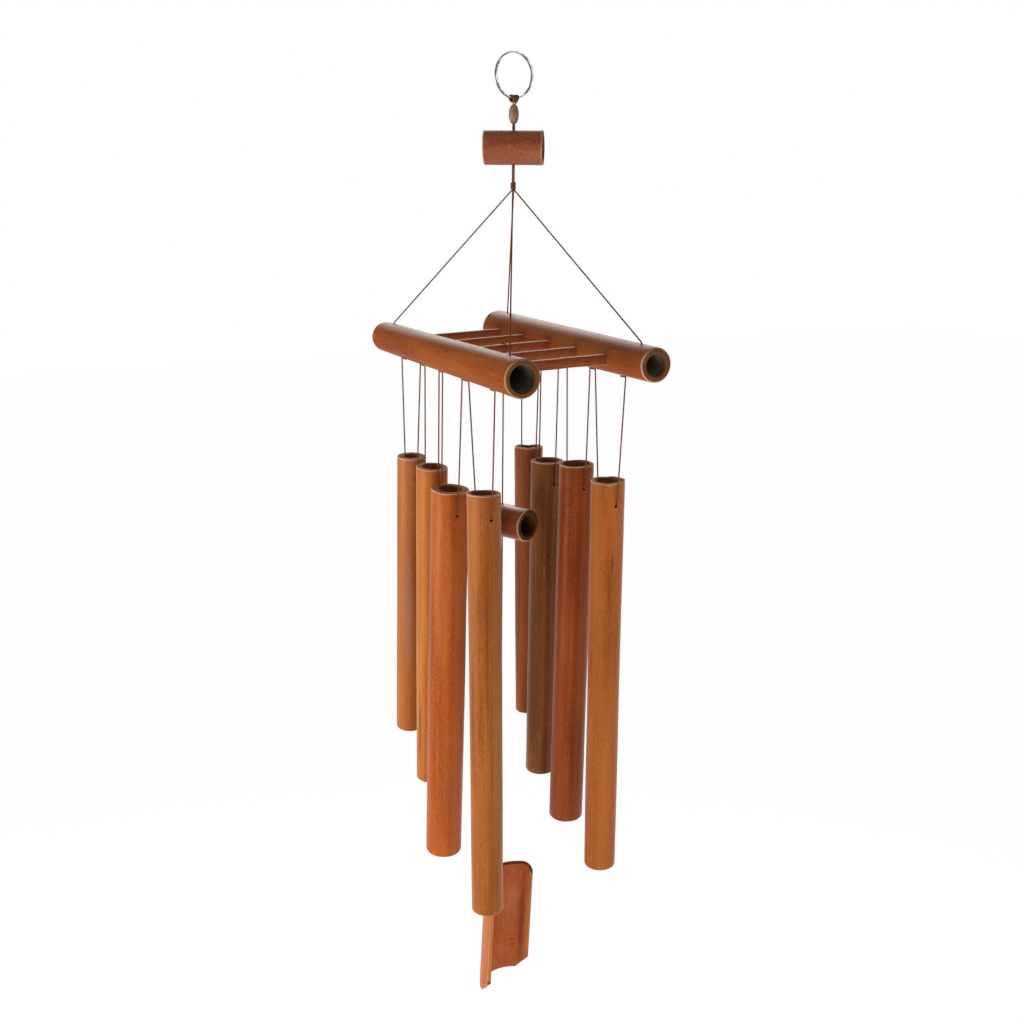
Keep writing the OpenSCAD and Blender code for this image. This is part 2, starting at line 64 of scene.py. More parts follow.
class Face(IntEnum):
    """Material slots of a bamboo piece."""

    SKIN = 0
    CUT = 1
    BORE = 2


class Row(Enum):
    """The two rows of tubes, by the side of the frame that they hang on."""

    LEFT = "left"
    RIGHT = "right"

    @property
    def sign(self) -> int:
        """-1 on the left and +1 on the right."""
        return -1 if self is Row.LEFT else 1


class End(IntEnum):
    """The two ends of a rail."""

    FAR = -1
    NEAR = 1


def linear(code: str) -> tuple[float, float, float, float]:
    """Turn a hex colour into a linear one.

    Args:
        code: The colour as "#rrggbb".

    Returns:
        Linear red, green, blue and an alpha of 1.
    """
    parts = [int(code[i:i + 2], 16) / 255 for i in (1, 3, 5)]
    red, green, blue = (c / 12.92 if c <= 0.04045 else ((c + 0.055) / 1.055) ** 2.4 for c in parts)
    return red, green, blue, 1.0


# Shader maths


class Shade:
    """A shader socket that takes part in Python arithmetic."""

    def __init__(self, graph: "Graph", socket: bpy.types.NodeSocket) -> None:
        """Keep the graph and the socket that gives the value."""
        self.graph = graph
        self.socket = socket

    def _math(self, operation: str, first: "Value", second: "Value" = 0.0) -> "Shade":
        """Add one Math node and give its result."""
        made = self.graph.node("ShaderNodeMath", {"operation": operation}, {0: first, 1: second})
        return Shade(self.graph, made.outputs[0])

    def __add__(self, other: "Value") -> "Shade":
        """Sum."""
        return self._math("ADD", self, other)

    def __radd__(self, other: "Value") -> "Shade":
        """Sum, reflected."""
        return self._math("ADD", other, self)

    def __sub__(self, other: "Value") -> "Shade":
        """Difference."""
        return self._math("SUBTRACT", self, other)

    def __rsub__(self, other: "Value") -> "Shade":
        """Difference, reflected."""
        return self._math("SUBTRACT", other, self)

    def __mul__(self, other: "Value") -> "Shade":
        """Product."""
        return self._math("MULTIPLY", self, other)

    def __rmul__(self, other: "Value") -> "Shade":
        """Product, reflected."""
        return self._math("MULTIPLY", other, self)

    def __truediv__(self, other: "Value") -> "Shade":
        """Quotient."""
        return self._math("DIVIDE", self, other)

    def __rtruediv__(self, other: "Value") -> "Shade":
        """Quotient, reflected."""
        return self._math("DIVIDE", other, self)

    def most(self, other: "Value") -> "Shade":
        """The greater of two values."""
        return self._math("MAXIMUM", self, other)

    def between(self, low: float, high: float) -> "Shade":
        """The value as a smooth step.

        Args:
            low: Where the step starts.
            high: Where it ends.

        Returns:
            0 below the step and 1 above it.
        """
        settings = {"interpolation_type": "SMOOTHSTEP"}
        made = self.graph.node("ShaderNodeMapRange", settings, {"Value": self, "From Min": low, "From Max": high})
        return Shade(self.graph, made.outputs[0])


Value = Union[Shade, float]
Colour = Union[Shade, tuple[float, float, float, float]]


class Graph:
    """The nodes of one material or of the world."""

    def __init__(self, tree: bpy.types.NodeTree) -> None:
        """Empty the node tree."""
        self.tree = tree
        self.tree.nodes.clear()

    def node(self, kind: str, settings: Optional[dict] = None, sockets: Optional[dict] = None) -> bpy.types.Node:
        """Add a node.

        Args:
            kind: The node's type name.
            settings: Properties that are set first; "stops" fills a colour ramp.
            sockets: Values or Shades for its inputs, by name or number.

        Returns:
            The new node.
        """
        made = self.tree.nodes.new(kind)
        for key, value in (settings or {}).items():
            if key == "stops":
                self._fill_ramp(made.color_ramp, value)
            else:
                setattr(made, key, value)
        self.wire(made, sockets or {})
        return made

    def wire(self, node: bpy.types.Node, sockets: dict) -> None:
        """Set or link inputs of a node.

        Args:
            node: The node.
            sockets: Values or Shades for its inputs, by name or number.
        """
        for key, value in sockets.items():
            if isinstance(value, Shade):
                self.tree.links.new(value.socket, node.inputs[key])
            else:
                node.inputs[key].default_value = value

    @staticmethod
    def _fill_ramp(ramp: bpy.types.ColorRamp, stops: Sequence[tuple[float, tuple]]) -> None:
        """Set a ramp's stops.

        Args:
            ramp: The ramp.
            stops: Places and colours, in order.
        """
        while len(ramp.elements) < len(stops):
            ramp.elements.new(1.0)
        for element, (place, colour) in zip(ramp.elements, stops):
            element.position = place
            element.color = colour

    def attribute(self, name: str, output: str = "Vector") -> Shade:
        """A mesh attribute of the piece."""
        return Shade(self, self.node("ShaderNodeAttribute", {"attribute_name": name}).outputs[output])

    def place(self) -> Shade:
        """Object coordinates, in metres in the row frame."""
        return Shade(self, self.node("ShaderNodeTexCoord").outputs["Object"])

    def stretched(self, vector: Shade, scale: tuple[float, float, float], shift: float = 0.0) -> Shade:
        """A vector scaled along its axes and moved, so that patterns differ from piece to piece."""
        sockets = {0: vector, 1: scale, 2: (shift, shift * 0.7, shift * 1.3)}
        return Shade(self, self.node("ShaderNodeVectorMath", {"operation": "MULTIPLY_ADD"}, sockets).outputs[0])

    def noise(self, vector: Shade, detail: float = 3.0, rough: float = 0.55, twist: float = 0.0) -> Shade:
        """Noise of about one cell per unit, from 0 to 1."""
        sockets = {"Vector": vector, "Scale": 1.0, "Detail": detail, "Roughness": rough, "Distortion": twist}
        return Shade(self, self.node("ShaderNodeTexNoise", {}, sockets).outputs[0])

    def cells(self, vector: Shade) -> Shade:
        """Distance to the nearest cell point."""
        return Shade(self, self.node("ShaderNodeTexVoronoi", {}, {"Vector": vector, "Scale": 1.0}).outputs["Distance"])

    def mixed(self, factor: Value, first: Colour, second: Colour) -> Shade:
        """A colour between two others."""
        made = self.node("ShaderNodeMix", {"data_type": "RGBA"}, {0: factor, 6: first, 7: second})
        return Shade(self, made.outputs[2])

    def ramp(self, value: Shade, stops: Sequence[tuple[float, tuple]]) -> Shade:
        """A colour read from a ramp."""
        return Shade(self, self.node("ShaderNodeValToRGB", {"stops": stops}, {0: value}).outputs[0])

    def relief(self, height: Shade, strength: float, depth: float) -> Shade:
        """A normal bent by a height, with the depth in metres."""
        made = self.node("ShaderNodeBump", {}, {"Strength": strength, "Distance": depth, "Height": height})
        return Shade(self, made.outputs[0])

    def background_rays(self) -> Shade:
        """Tell rays that show the background to the camera, in metal and through glass, from the rest.

        Returns:
            1 for those rays and 0 for the rest.
        """
        path = self.node("ShaderNodeLightPath")
        kinds = ("Is Camera Ray", "Is Glossy Ray", "Is Transmission Ray")
        camera, mirror, glass = (Shade(self, path.outputs[kind]) for kind in kinds)
        return camera.most(mirror).most(glass)


class Surface(Graph):
    """A material with a Principled shader."""

    def __init__(self, name: str) -> None:
        """Start a material with a Principled shader on its output.

        Args:
            name: The material's name.
        """
        self.material = bpy.data.materials.new(name)
        self.material.use_nodes = True
        super().__init__(self.material.node_tree)
        self.shader = self.node("ShaderNodeBsdfPrincipled")
        self.output = self.node("ShaderNodeOutputMaterial", {}, {"Surface": Shade(self, self.shader.outputs[0])})

    def finish(self, sockets: dict) -> bpy.types.Material:
        """Set the shader's sockets by name, and give the finished material."""
        self.wire(self.shader, sockets)
        return self.material


# Finishes: the scales of their patterns are in cells per metre, across the fibres and then along them

DUST, HAZE = "#cf8f5f", "#8d7a68"
VARNISH_GLINT = "#ffa468"
# Width of the pale arris line at the ends, partly rubbed varnish and partly a painted highlight
RUB_AND_HIGHLIGHT_WIDTH = 0.0008


@dataclass(frozen=True)
class Mark:
    """A spot, streak or scratch on a bamboo piece, in the piece's own frame in millimetres.

    Attributes:
        turn: Angle about the piece's axis, in degrees.
        reach: Distance from the axis.
        z: Height on the axis.
        wide: Half of its width.
        tall: Half of its height.
        colour: Its colour.
        strength: How much of that colour it has, from 0 to 1.
    """

    turn: float
    reach: float
    z: float
    wide: float
    tall: float
    colour: str = "#3a1c0c"
    strength: float = 0.7

    def over(self, graph: Graph, grain: Shade, body: Shade) -> Shade:
        """Lay the mark over a colour.

        Args:
            graph: The material.
            grain: The piece's own coordinates.
            body: The colour below.

        Returns:
            The marked colour.
        """
        turn = math.radians(self.turn)
        middle = (self.reach * math.cos(turn), self.reach * math.sin(turn), self.z)
        scale = (1 / self.wide, 1 / self.wide, 1 / self.tall)
        sockets = {0: grain, 1: tuple(k / MM for k in scale), 2: tuple(-m * k for m, k in zip(middle, scale))}
        away = graph.node("ShaderNodeVectorMath", {"operation": "MULTIPLY_ADD"}, sockets)
        reach = graph.node("ShaderNodeVectorMath", {"operation": "LENGTH"}, {0: Shade(graph, away.outputs[0])})
        mask = 1 - Shade(graph, reach.outputs["Value"]).between(0.3, 1.0)
        return graph.mixed(mask * self.strength, body, linear(self.colour))


@dataclass(frozen=True)
class BambooFinish:
    """Stained and varnished bamboo: its skin, its cut faces and its bore.

    Attributes:
        name: Start of the materials' names.
        tone: Main colour of the skin.
        dark: Colour of its dark fibres.
        light: Colour of its pale fibres.
        sawn: Colour of ends sawn across the fibres.
        split: Colour of faces split along the fibres.
        rim: Colour of the pale arris line at the ends: partly rubbed-off varnish, partly a painted highlight.
        bore: Colour inside.
        pith: Colour of the fibres inside.
        streak: How strongly the fibres show, from 0 to 1.
        dust: How much pale dust lies in the fibres, from 0 to 1.
        rough: Roughness of the varnish.
        gloss: Specular level of the varnish.
        wear_and_highlight: Strength of the pale arris line at the ends, rubbed varnish and painted highlight, from 0 to
            1.
        stain: How much stain ran into the mouths of the bore, from 0 to 1.
        seed: Moves the pattern.
        marks: Single marks on the skin.
        inner_marks: Single marks on the inside.
    """

    name: str
    tone: str
    dark: str
    light: str
    sawn: str = "#a5643c"
    split: str = "#c48f62"
    rim: str = "#e8c7a3"
    bore: str = "#7a543b"
    pith: str = "#a67a56"
    streak: float = 0.5
    dust: float = 0.25
    rough: float = 0.36
    gloss: float = 0.22
    wear_and_highlight: float = 0.9
    stain: float = 0.85
    seed: float = 0.0
    marks: tuple[Mark, ...] = ()
    inner_marks: tuple[Mark, ...] = ()

    def skin(self) -> bpy.types.Material:
        """Make the outer skin: long fibres, broad tones, specks, marks, and a pale arris line that is partly rubbed
        varnish and partly a painted highlight.

        Returns:
            The material.
        """
        g = Surface(f"{self.name}_skin")
        grain = g.attribute("grain")
        fibre = g.noise(g.stretched(grain, (1300, 1300, 11), self.seed), 4.0, 0.62)
        broad = g.noise(g.stretched(grain, (75, 75, 9), self.seed + 3), 2.0, 0.5)
        hair = g.noise(g.stretched(grain, (2600, 2600, 60), self.seed + 5), 2.0, 0.5)
        specks = g.noise(g.stretched(grain, (1500, 1500, 420), self.seed + 9), 1.0, 0.4).between(0.66, 0.74)
        flecks = g.noise(g.stretched(grain, (2200, 2200, 1100), self.seed + 17), 1.0, 0.4)
        flecks = flecks.between(0.74 - 0.12 * self.dust, 0.8 - 0.1 * self.dust)
        patch = g.noise(g.stretched(grain, (40, 40, 14), self.seed + 21), 2.0, 0.5)
        mottle = g.noise(g.stretched(grain, (980, 980, 430), self.seed + 27), 2.0, 0.6)
        shade = fibre * self.streak + broad * (1 - 0.5 * self.streak) + hair * 0.15 + (mottle - 0.5) * 0.45
        body = g.ramp(shade.between(0.25, 0.85 + 0.4 * self.streak), (
            (0.0, linear(self.dark)), (0.45, linear(self.tone)), (1.0, linear(self.light))))
        body = g.mixed(specks * 0.5, body, linear(self.dark))
        body = g.mixed(flecks * self.dust, body, linear(DUST))
        body = g.mixed(patch.between(0.55, 0.8) * self.dust * 0.4, body, linear(HAZE))
        for mark in self.marks:
            body = mark.over(g, grain, body)
        # Pale arris line at the ends: partly rubbed varnish, partly a painted highlight
        rub = self._rub_and_highlight(g, hair, broad)
        body = g.mixed(rub * self.wear_and_highlight, body, linear(self.rim))
        return g.finish({
            "Base Color": body,
            "Roughness": self.rough + (hair - 0.5) * 0.16 + rub * 0.2,
            "Specular IOR Level": self.gloss,
            "Specular Tint": linear(VARNISH_GLINT),
            "Normal": g.relief(fibre * 0.6 + hair * 0.4, 0.35, 0.00012),
        })

    @staticmethod
    def _rub_and_highlight(g: Graph, fine: Shade, broad: Shade) -> Shade:
        """1 on the pale line along the arris of an end, partly rubbed-off varnish and partly a painted highlight, and 0
        away from it.
        """
        away = g.attribute("arris", "Fac") / RUB_AND_HIGHLIGHT_WIDTH
        return (1 - away + (fine - 0.5) * 0.8 + (broad - 0.5) * 1.2).between(0.2, 0.8)

    def cut(self) -> bpy.types.Material:
        """Make the cut faces: dark pores in sawn ends, and bare fibres where the bamboo is split.

        Returns:
            The material.
        """
        g = Surface(f"{self.name}_cut")
        grain = g.attribute("grain")
        pores = g.cells(g.stretched(grain, (1900, 1900, 900), self.seed)).between(0.12, 0.42)
        broad = g.noise(g.stretched(grain, (260, 260, 260), self.seed), 3.0, 0.6)
        fibre = g.noise(g.stretched(grain, (1300, 1300, 14), self.seed), 3.0, 0.6)
        sawn = g.mixed(broad.between(0.35, 0.8) * 0.5, linear(self.sawn), linear(self.dark))
        sawn = g.mixed((1 - pores) * 0.45, sawn, linear(self.bore))
        split = g.mixed(fibre.between(0.2, 0.5), linear(self.dark), linear(self.split))
        inward = g.attribute("end", "Fac").between(0.0008, 0.0024)
        body = g.mixed(inward, sawn, split)
        # Pale arris line at the ends: partly rubbed varnish, partly a painted highlight
        rub = self._rub_and_highlight(g, fibre, g.noise(g.stretched(grain, (75, 75, 9), self.seed + 3), 2.0, 0.5))
        return g.finish({
            "Base Color": g.mixed(rub * self.wear_and_highlight, body, linear(self.rim)),
            "Roughness": 0.55 + broad * 0.2,
            "Specular IOR Level": 0.03,
            "Normal": g.relief(pores + broad * 0.5, 0.5, 0.00015),
        })

    def inside(self) -> bpy.types.Material:
        """Make the bore: dark, dry and ribbed along its fibres, with stain that ran in at its mouth.

        Returns:
            The material.
        """
        g = Surface(f"{self.name}_bore")
        grain = g.attribute("grain")
        fibre = g.noise(g.stretched(grain, (900, 900, 14), self.seed), 4.0, 0.6)
        broad = g.noise(g.stretched(grain, (60, 60, 12), self.seed + 7), 2.0, 0.5)
        blot = g.noise(g.stretched(grain, (330, 330, 110), self.seed + 13), 3.0, 0.65)
        tone = (fibre * 0.3 + broad * 0.35 + blot * 0.35).between(0.38, 0.66)
        body = g.mixed(tone, linear(self.bore), linear(self.pith))
        stain = 1 - (g.attribute("end", "Fac") + (fibre - 0.5) * 0.004).between(0.003, 0.008)
        body = g.mixed(stain * self.stain, body, linear(self.sawn))
        for mark in self.inner_marks:
            body = mark.over(g, grain, body)
        return g.finish({
            "Base Color": body,
            "Roughness": 0.65,
            "Specular IOR Level": 0.1,
            "Normal": g.relief(fibre * 0.5 + blot * 0.5, 0.4, 0.0003),
        })

    def faces(self) -> list[bpy.types.Material]:
        """The materials in the order of Face."""
        return [self.skin(), self.cut(), self.inside()]


@dataclass(frozen=True)
class CordFinish:
    """Brown waxed thread."""

    name: str = "waxed_cord"
    tone: str = "#7a442e"
    dark: str = "#472414"
    light: str = "#a4694b"

    def material(self) -> bpy.types.Material:
        """Make the thread: fine fibres and patches of wax.

        Returns:
            The material.
        """
        g = Surface(self.name)
        place = g.place()
        fibre = g.noise(g.stretched(place, (5200, 5200, 2600)), 2.0, 0.6)
        wax = g.noise(g.stretched(place, (160, 160, 90)), 2.0, 0.5)
        body = g.ramp(fibre * 0.7 + wax * 0.3, (
            (0.3, linear(self.dark)), (0.5, linear(self.tone)), (0.72, linear(self.light))))
        return g.finish({
            "Base Color": body,
            "Roughness": 0.5 + wax * 0.25,
            "Specular IOR Level": 0.1,
            "Normal": g.relief(fibre, 0.4, 0.00008),
        })


@dataclass(frozen=True)
class SteelFinish:
    """Bright plated spring steel."""

    name: str = "ring_steel"
    dull: str = "#75706b"
    bright: str = "#d5d3d0"
    groove_tarnish_and_shade: str = "#231f1c"
    groove: float = 0.0007

    def material(self) -> bpy.types.Material:
        """Make the metal: bright, with rubbing marks along the wire, and a darkened groove between its turns, partly
        oxide and partly painted shade.

        Returns:
            The material.
        """
        g = Surface(self.name)
        place = g.place()
        rub = g.noise(g.stretched(place, (900, 260, 260)), 4.0, 0.65)
        scratch = g.noise(g.stretched(place, (3000, 300, 3000)), 2.0, 0.5)
        across = g.attribute("across", "Fac")
        groove = 1 - (across * across / self.groove ** 2).between(0.25, 1.4)
        body = g.mixed(rub.between(0.35, 0.65), linear(self.dull), linear(self.bright))
        # Groove between the two turns, darkened: partly oxide and partly painted shade
        body = g.mixed(groove * 0.9, body, linear(self.groove_tarnish_and_shade))
        return g.finish({
            "Base Color": body,
            "Metallic": 1.0,
            "Roughness": 0.18 + rub * 0.16,
            "Normal": g.relief(scratch, 0.15, 0.00005),
        })


@dataclass(frozen=True)
class BeadFinish:
    """Satin brown wood of the bead."""

    name: str = "bead_wood"
    tone: str = "#a07c64"
    dark: str = "#6b4c38"

    def material(self) -> bpy.types.Material:
        """Make the wood: close grain along the bead, with a soft polish.

        Returns:
            The material.
        """
        g = Surface(self.name)
        grain = g.attribute("grain")
        fibre = g.noise(g.stretched(grain, (1500, 1500, 160)), 3.0, 0.6, 0.4)
        body = g.mixed(fibre.between(0.3, 0.7), linear(self.dark), linear(self.tone))
        return g.finish({
            "Base Color": body,
            "Roughness": 0.34 + fibre * 0.1,
            "Specular IOR Level": 0.4,
            "Normal": g.relief(fibre, 0.3, 0.00008),
        })


# Shapes


@dataclass(frozen=True)
class Drill:
    """A round hole or a square slot that is cut out of a piece, in the piece's own frame in millimetres.

    Attributes:
        place: Middle, turn and scale of a unit cylinder or cube.
        square: True for a slot.
    """

    place: Matrix
    square: bool = False

    @classmethod
    def along_x(cls, low: float, high: float, z: float, d: float) -> "Drill":
        """A hole along X.

        Args:
            low: Where it starts.
            high: Where it ends.
            z: Its height on the piece's axis.
            d: Its diameter.

        Returns:
            The hole.
        """
        middle = Matrix.Translation(((low + high) / 2, 0, z))
        size = Matrix.Diagonal((d, d, high - low, 1))
        return cls(middle @ Matrix.Rotation(math.pi / 2, 4, "Y") @ size)


class Joinery:
    """Turns bmeshes and curves into finished pieces of the chime."""

    HOLE_SIDES: ClassVar[int] = 24
    FAR_OFF: ClassVar[float] = 1000.0
    SMOOTH_ANGLE: ClassVar[float] = 38.0

    @staticmethod
    def linked(name: str, data: bpy.types.ID) -> bpy.types.Object:
        """Put new data into the scene.

        Args:
            name: The object's name.
            data: Its mesh, curve, camera or light.

        Returns:
            The object.
        """
        made = bpy.data.objects.new(name, data)
        bpy.context.scene.collection.objects.link(made)
        return made

    @classmethod
    def to_object(cls, bm: bmesh.types.BMesh, name: str) -> bpy.types.Object:
        """Make an object of a bmesh in the scene, and free the bmesh.

        Args:
            bm: The shape.
            name: The object's name.

        Returns:
            The object.
        """
        mesh = bpy.data.meshes.new(name)
        bm.to_mesh(mesh)
        bm.free()
        return cls.linked(name, mesh)

    @staticmethod
    def in_order(bm: bmesh.types.BMesh, digits: int = 4) -> bmesh.types.BMesh:
        """Make a mesh anew with its points and faces in order of place, so that a bevel goes the same way each run.

        Args:
            bm: The mesh, which is freed.
            digits: Decimals of the coordinates that count for the order.

        Returns:
            The new mesh, with the faces' numbers.
        """
        made = bmesh.new()
        points = sorted(bm.verts, key=lambda v: v.co.to_tuple(digits))
        ranks = {vert: k for k, vert in enumerate(points)}
        verts = [made.verts.new(vert.co) for vert in points]
        rings = []
        for face in bm.faces:
            ring = [ranks[vert] for vert in face.verts]
            first = ring.index(min(ring))
            rings.append((ring[first:] + ring[:first], face.material_index))
        for ring, index in sorted(rings):
            made.faces.new([verts[k] for k in ring]).material_index = index
        made.normal_update()
        bm.free()
        return made

    @classmethod
    def swept(cls, curve: bpy.types.Curve) -> bpy.types.Mesh:
        """Turn a curve with a bevel into a mesh, and drop the curve.

        Args:
            curve: The curve.

        Returns:
            The mesh.
        """
        helper = cls.linked(curve.name, curve)
        mesh = bpy.data.meshes.new_from_object(helper.evaluated_get(bpy.context.evaluated_depsgraph_get()))
        bpy.data.objects.remove(helper)
        bpy.data.curves.remove(curve)
        return mesh

    @staticmethod
    def spun(outline: Sequence[tuple[float, float]], steps: int) -> bmesh.types.BMesh:
        """Spin the closed outline of a wall about the Z axis.

        Args:
            outline: Corners of the wall, as distances from the axis and heights.
            steps: Steps in the full turn.

        Returns:
            The closed shape, with its faces outwards.
        """
        bm = bmesh.new()
        verts = [bm.verts.new((x, 0, z)) for x, z in outline]
        edges = [bm.edges.new(pair) for pair in zip(verts, verts[1:] + verts[:1])]
        bmesh.ops.spin(bm, geom=verts + edges, cent=(0, 0, 0), axis=(0, 0, 1), angle=math.tau, steps=steps,
                       use_merge=True)
        bmesh.ops.remove_doubles(bm, verts=bm.verts, dist=1e-4)
        bmesh.ops.recalc_face_normals(bm, faces=bm.faces)
        return bm

    @staticmethod
    def settled(made: bpy.types.Object) -> None:
        """Put an object's evaluated shape into its mesh and drop its modifiers.

        Args:
            made: The object.
        """
        shape = made.evaluated_get(bpy.context.evaluated_depsgraph_get())
        old = made.data
        made.data = bpy.data.meshes.new_from_object(shape)
        made.modifiers.clear()
        bpy.data.meshes.remove(old)

    @classmethod
    def drilled(cls, made: bpy.types.Object, drills: Sequence[Drill]) -> None:
        """Cut holes and slots out of a piece.

        Args:
            made: The piece with its materials, in its own frame in millimetres.
            drills: The holes and slots.
        """
        bm = bmesh.new()
        for drill in drills:
            if drill.square:
                bmesh.ops.create_cube(bm, size=1.0, matrix=drill.place)
            else:
                bmesh.ops.create_cone(bm, cap_ends=True, segments=cls.HOLE_SIDES, radius1=0.5, radius2=0.5, depth=1.0,
                                      matrix=drill.place)
        for face in bm.faces:
            face.material_index = Face.BORE
        cutter = cls.to_object(bm, "cutter")
        cls.dressed(cutter, made.data.materials[:])
        cut = made.modifiers.new("cut", "BOOLEAN")
        cut.operation = "DIFFERENCE"
        cut.solver = "EXACT"
        cut.object = cutter
        cls.settled(made)
        mesh = cutter.data
        bpy.data.objects.remove(cutter)
        bpy.data.meshes.remove(mesh)

    @classmethod
    def marked(cls, made: bpy.types.Object, depths: Optional[Callable[[Vector], tuple[float, float]]] = None) -> None:
        """Write the grain's own coordinates, the distance from the sawn ends and that from their arris, in metres.

        Args:
            made: The piece, in its own frame in millimetres.
            depths: Gives a point's distance from the nearer end and from its arris, if the piece has sawn ends.
        """
        mesh = made.data
        grain, ends, arrises = [], [], []
        for vertex in mesh.vertices:
            end, arris = depths(vertex.co) if depths else (cls.FAR_OFF, cls.FAR_OFF)
            grain.extend(vertex.co * MM)
            ends.append(max(0.0, end) * MM)
            arrises.append(max(0.0, arris) * MM)
        mesh.attributes.new("grain", "FLOAT_VECTOR", "POINT").data.foreach_set("vector", grain)
        for name, values in (("end", ends), ("arris", arrises)):
            mesh.attributes.new(name, "FLOAT", "POINT").data.foreach_set("value", values)

    @classmethod
    def placed(cls, made: bpy.types.Object, place: Matrix) -> None:
        """Move a piece's mesh to the row frame in metres, and shade it smooth.

        Args:
            made: The piece, in its own frame in millimetres.
            place: From that frame to the row frame in millimetres.
        """
        made.data.transform(Matrix.Scale(MM, 4) @ place)
        made.data.shade_smooth()
        made.data.set_sharp_from_angle(angle=math.radians(cls.SMOOTH_ANGLE))

    @staticmethod
    def dressed(made: bpy.types.Object, materials: Sequence[bpy.types.Material]) -> None:
        """Give a new piece its materials, in the order of its faces' numbers."""
        for material in materials:
            made.data.materials.append(material)

    @staticmethod
    def fitted(made: bpy.types.Object, body: str, slot: str, nodes: Sequence[str]) -> None:
        """Hang a piece on its body in place of its solids, and report it.

        Args:
            made: The piece.
            body: The body that it rides on.
            slot: Its material slot; not used.
            nodes: The solids that it replaces.
        """
        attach(made, body)
        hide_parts(*nodes)
        LOG.info("%s rides on %s, %d faces", made.name, body, len(made.data.polygons))


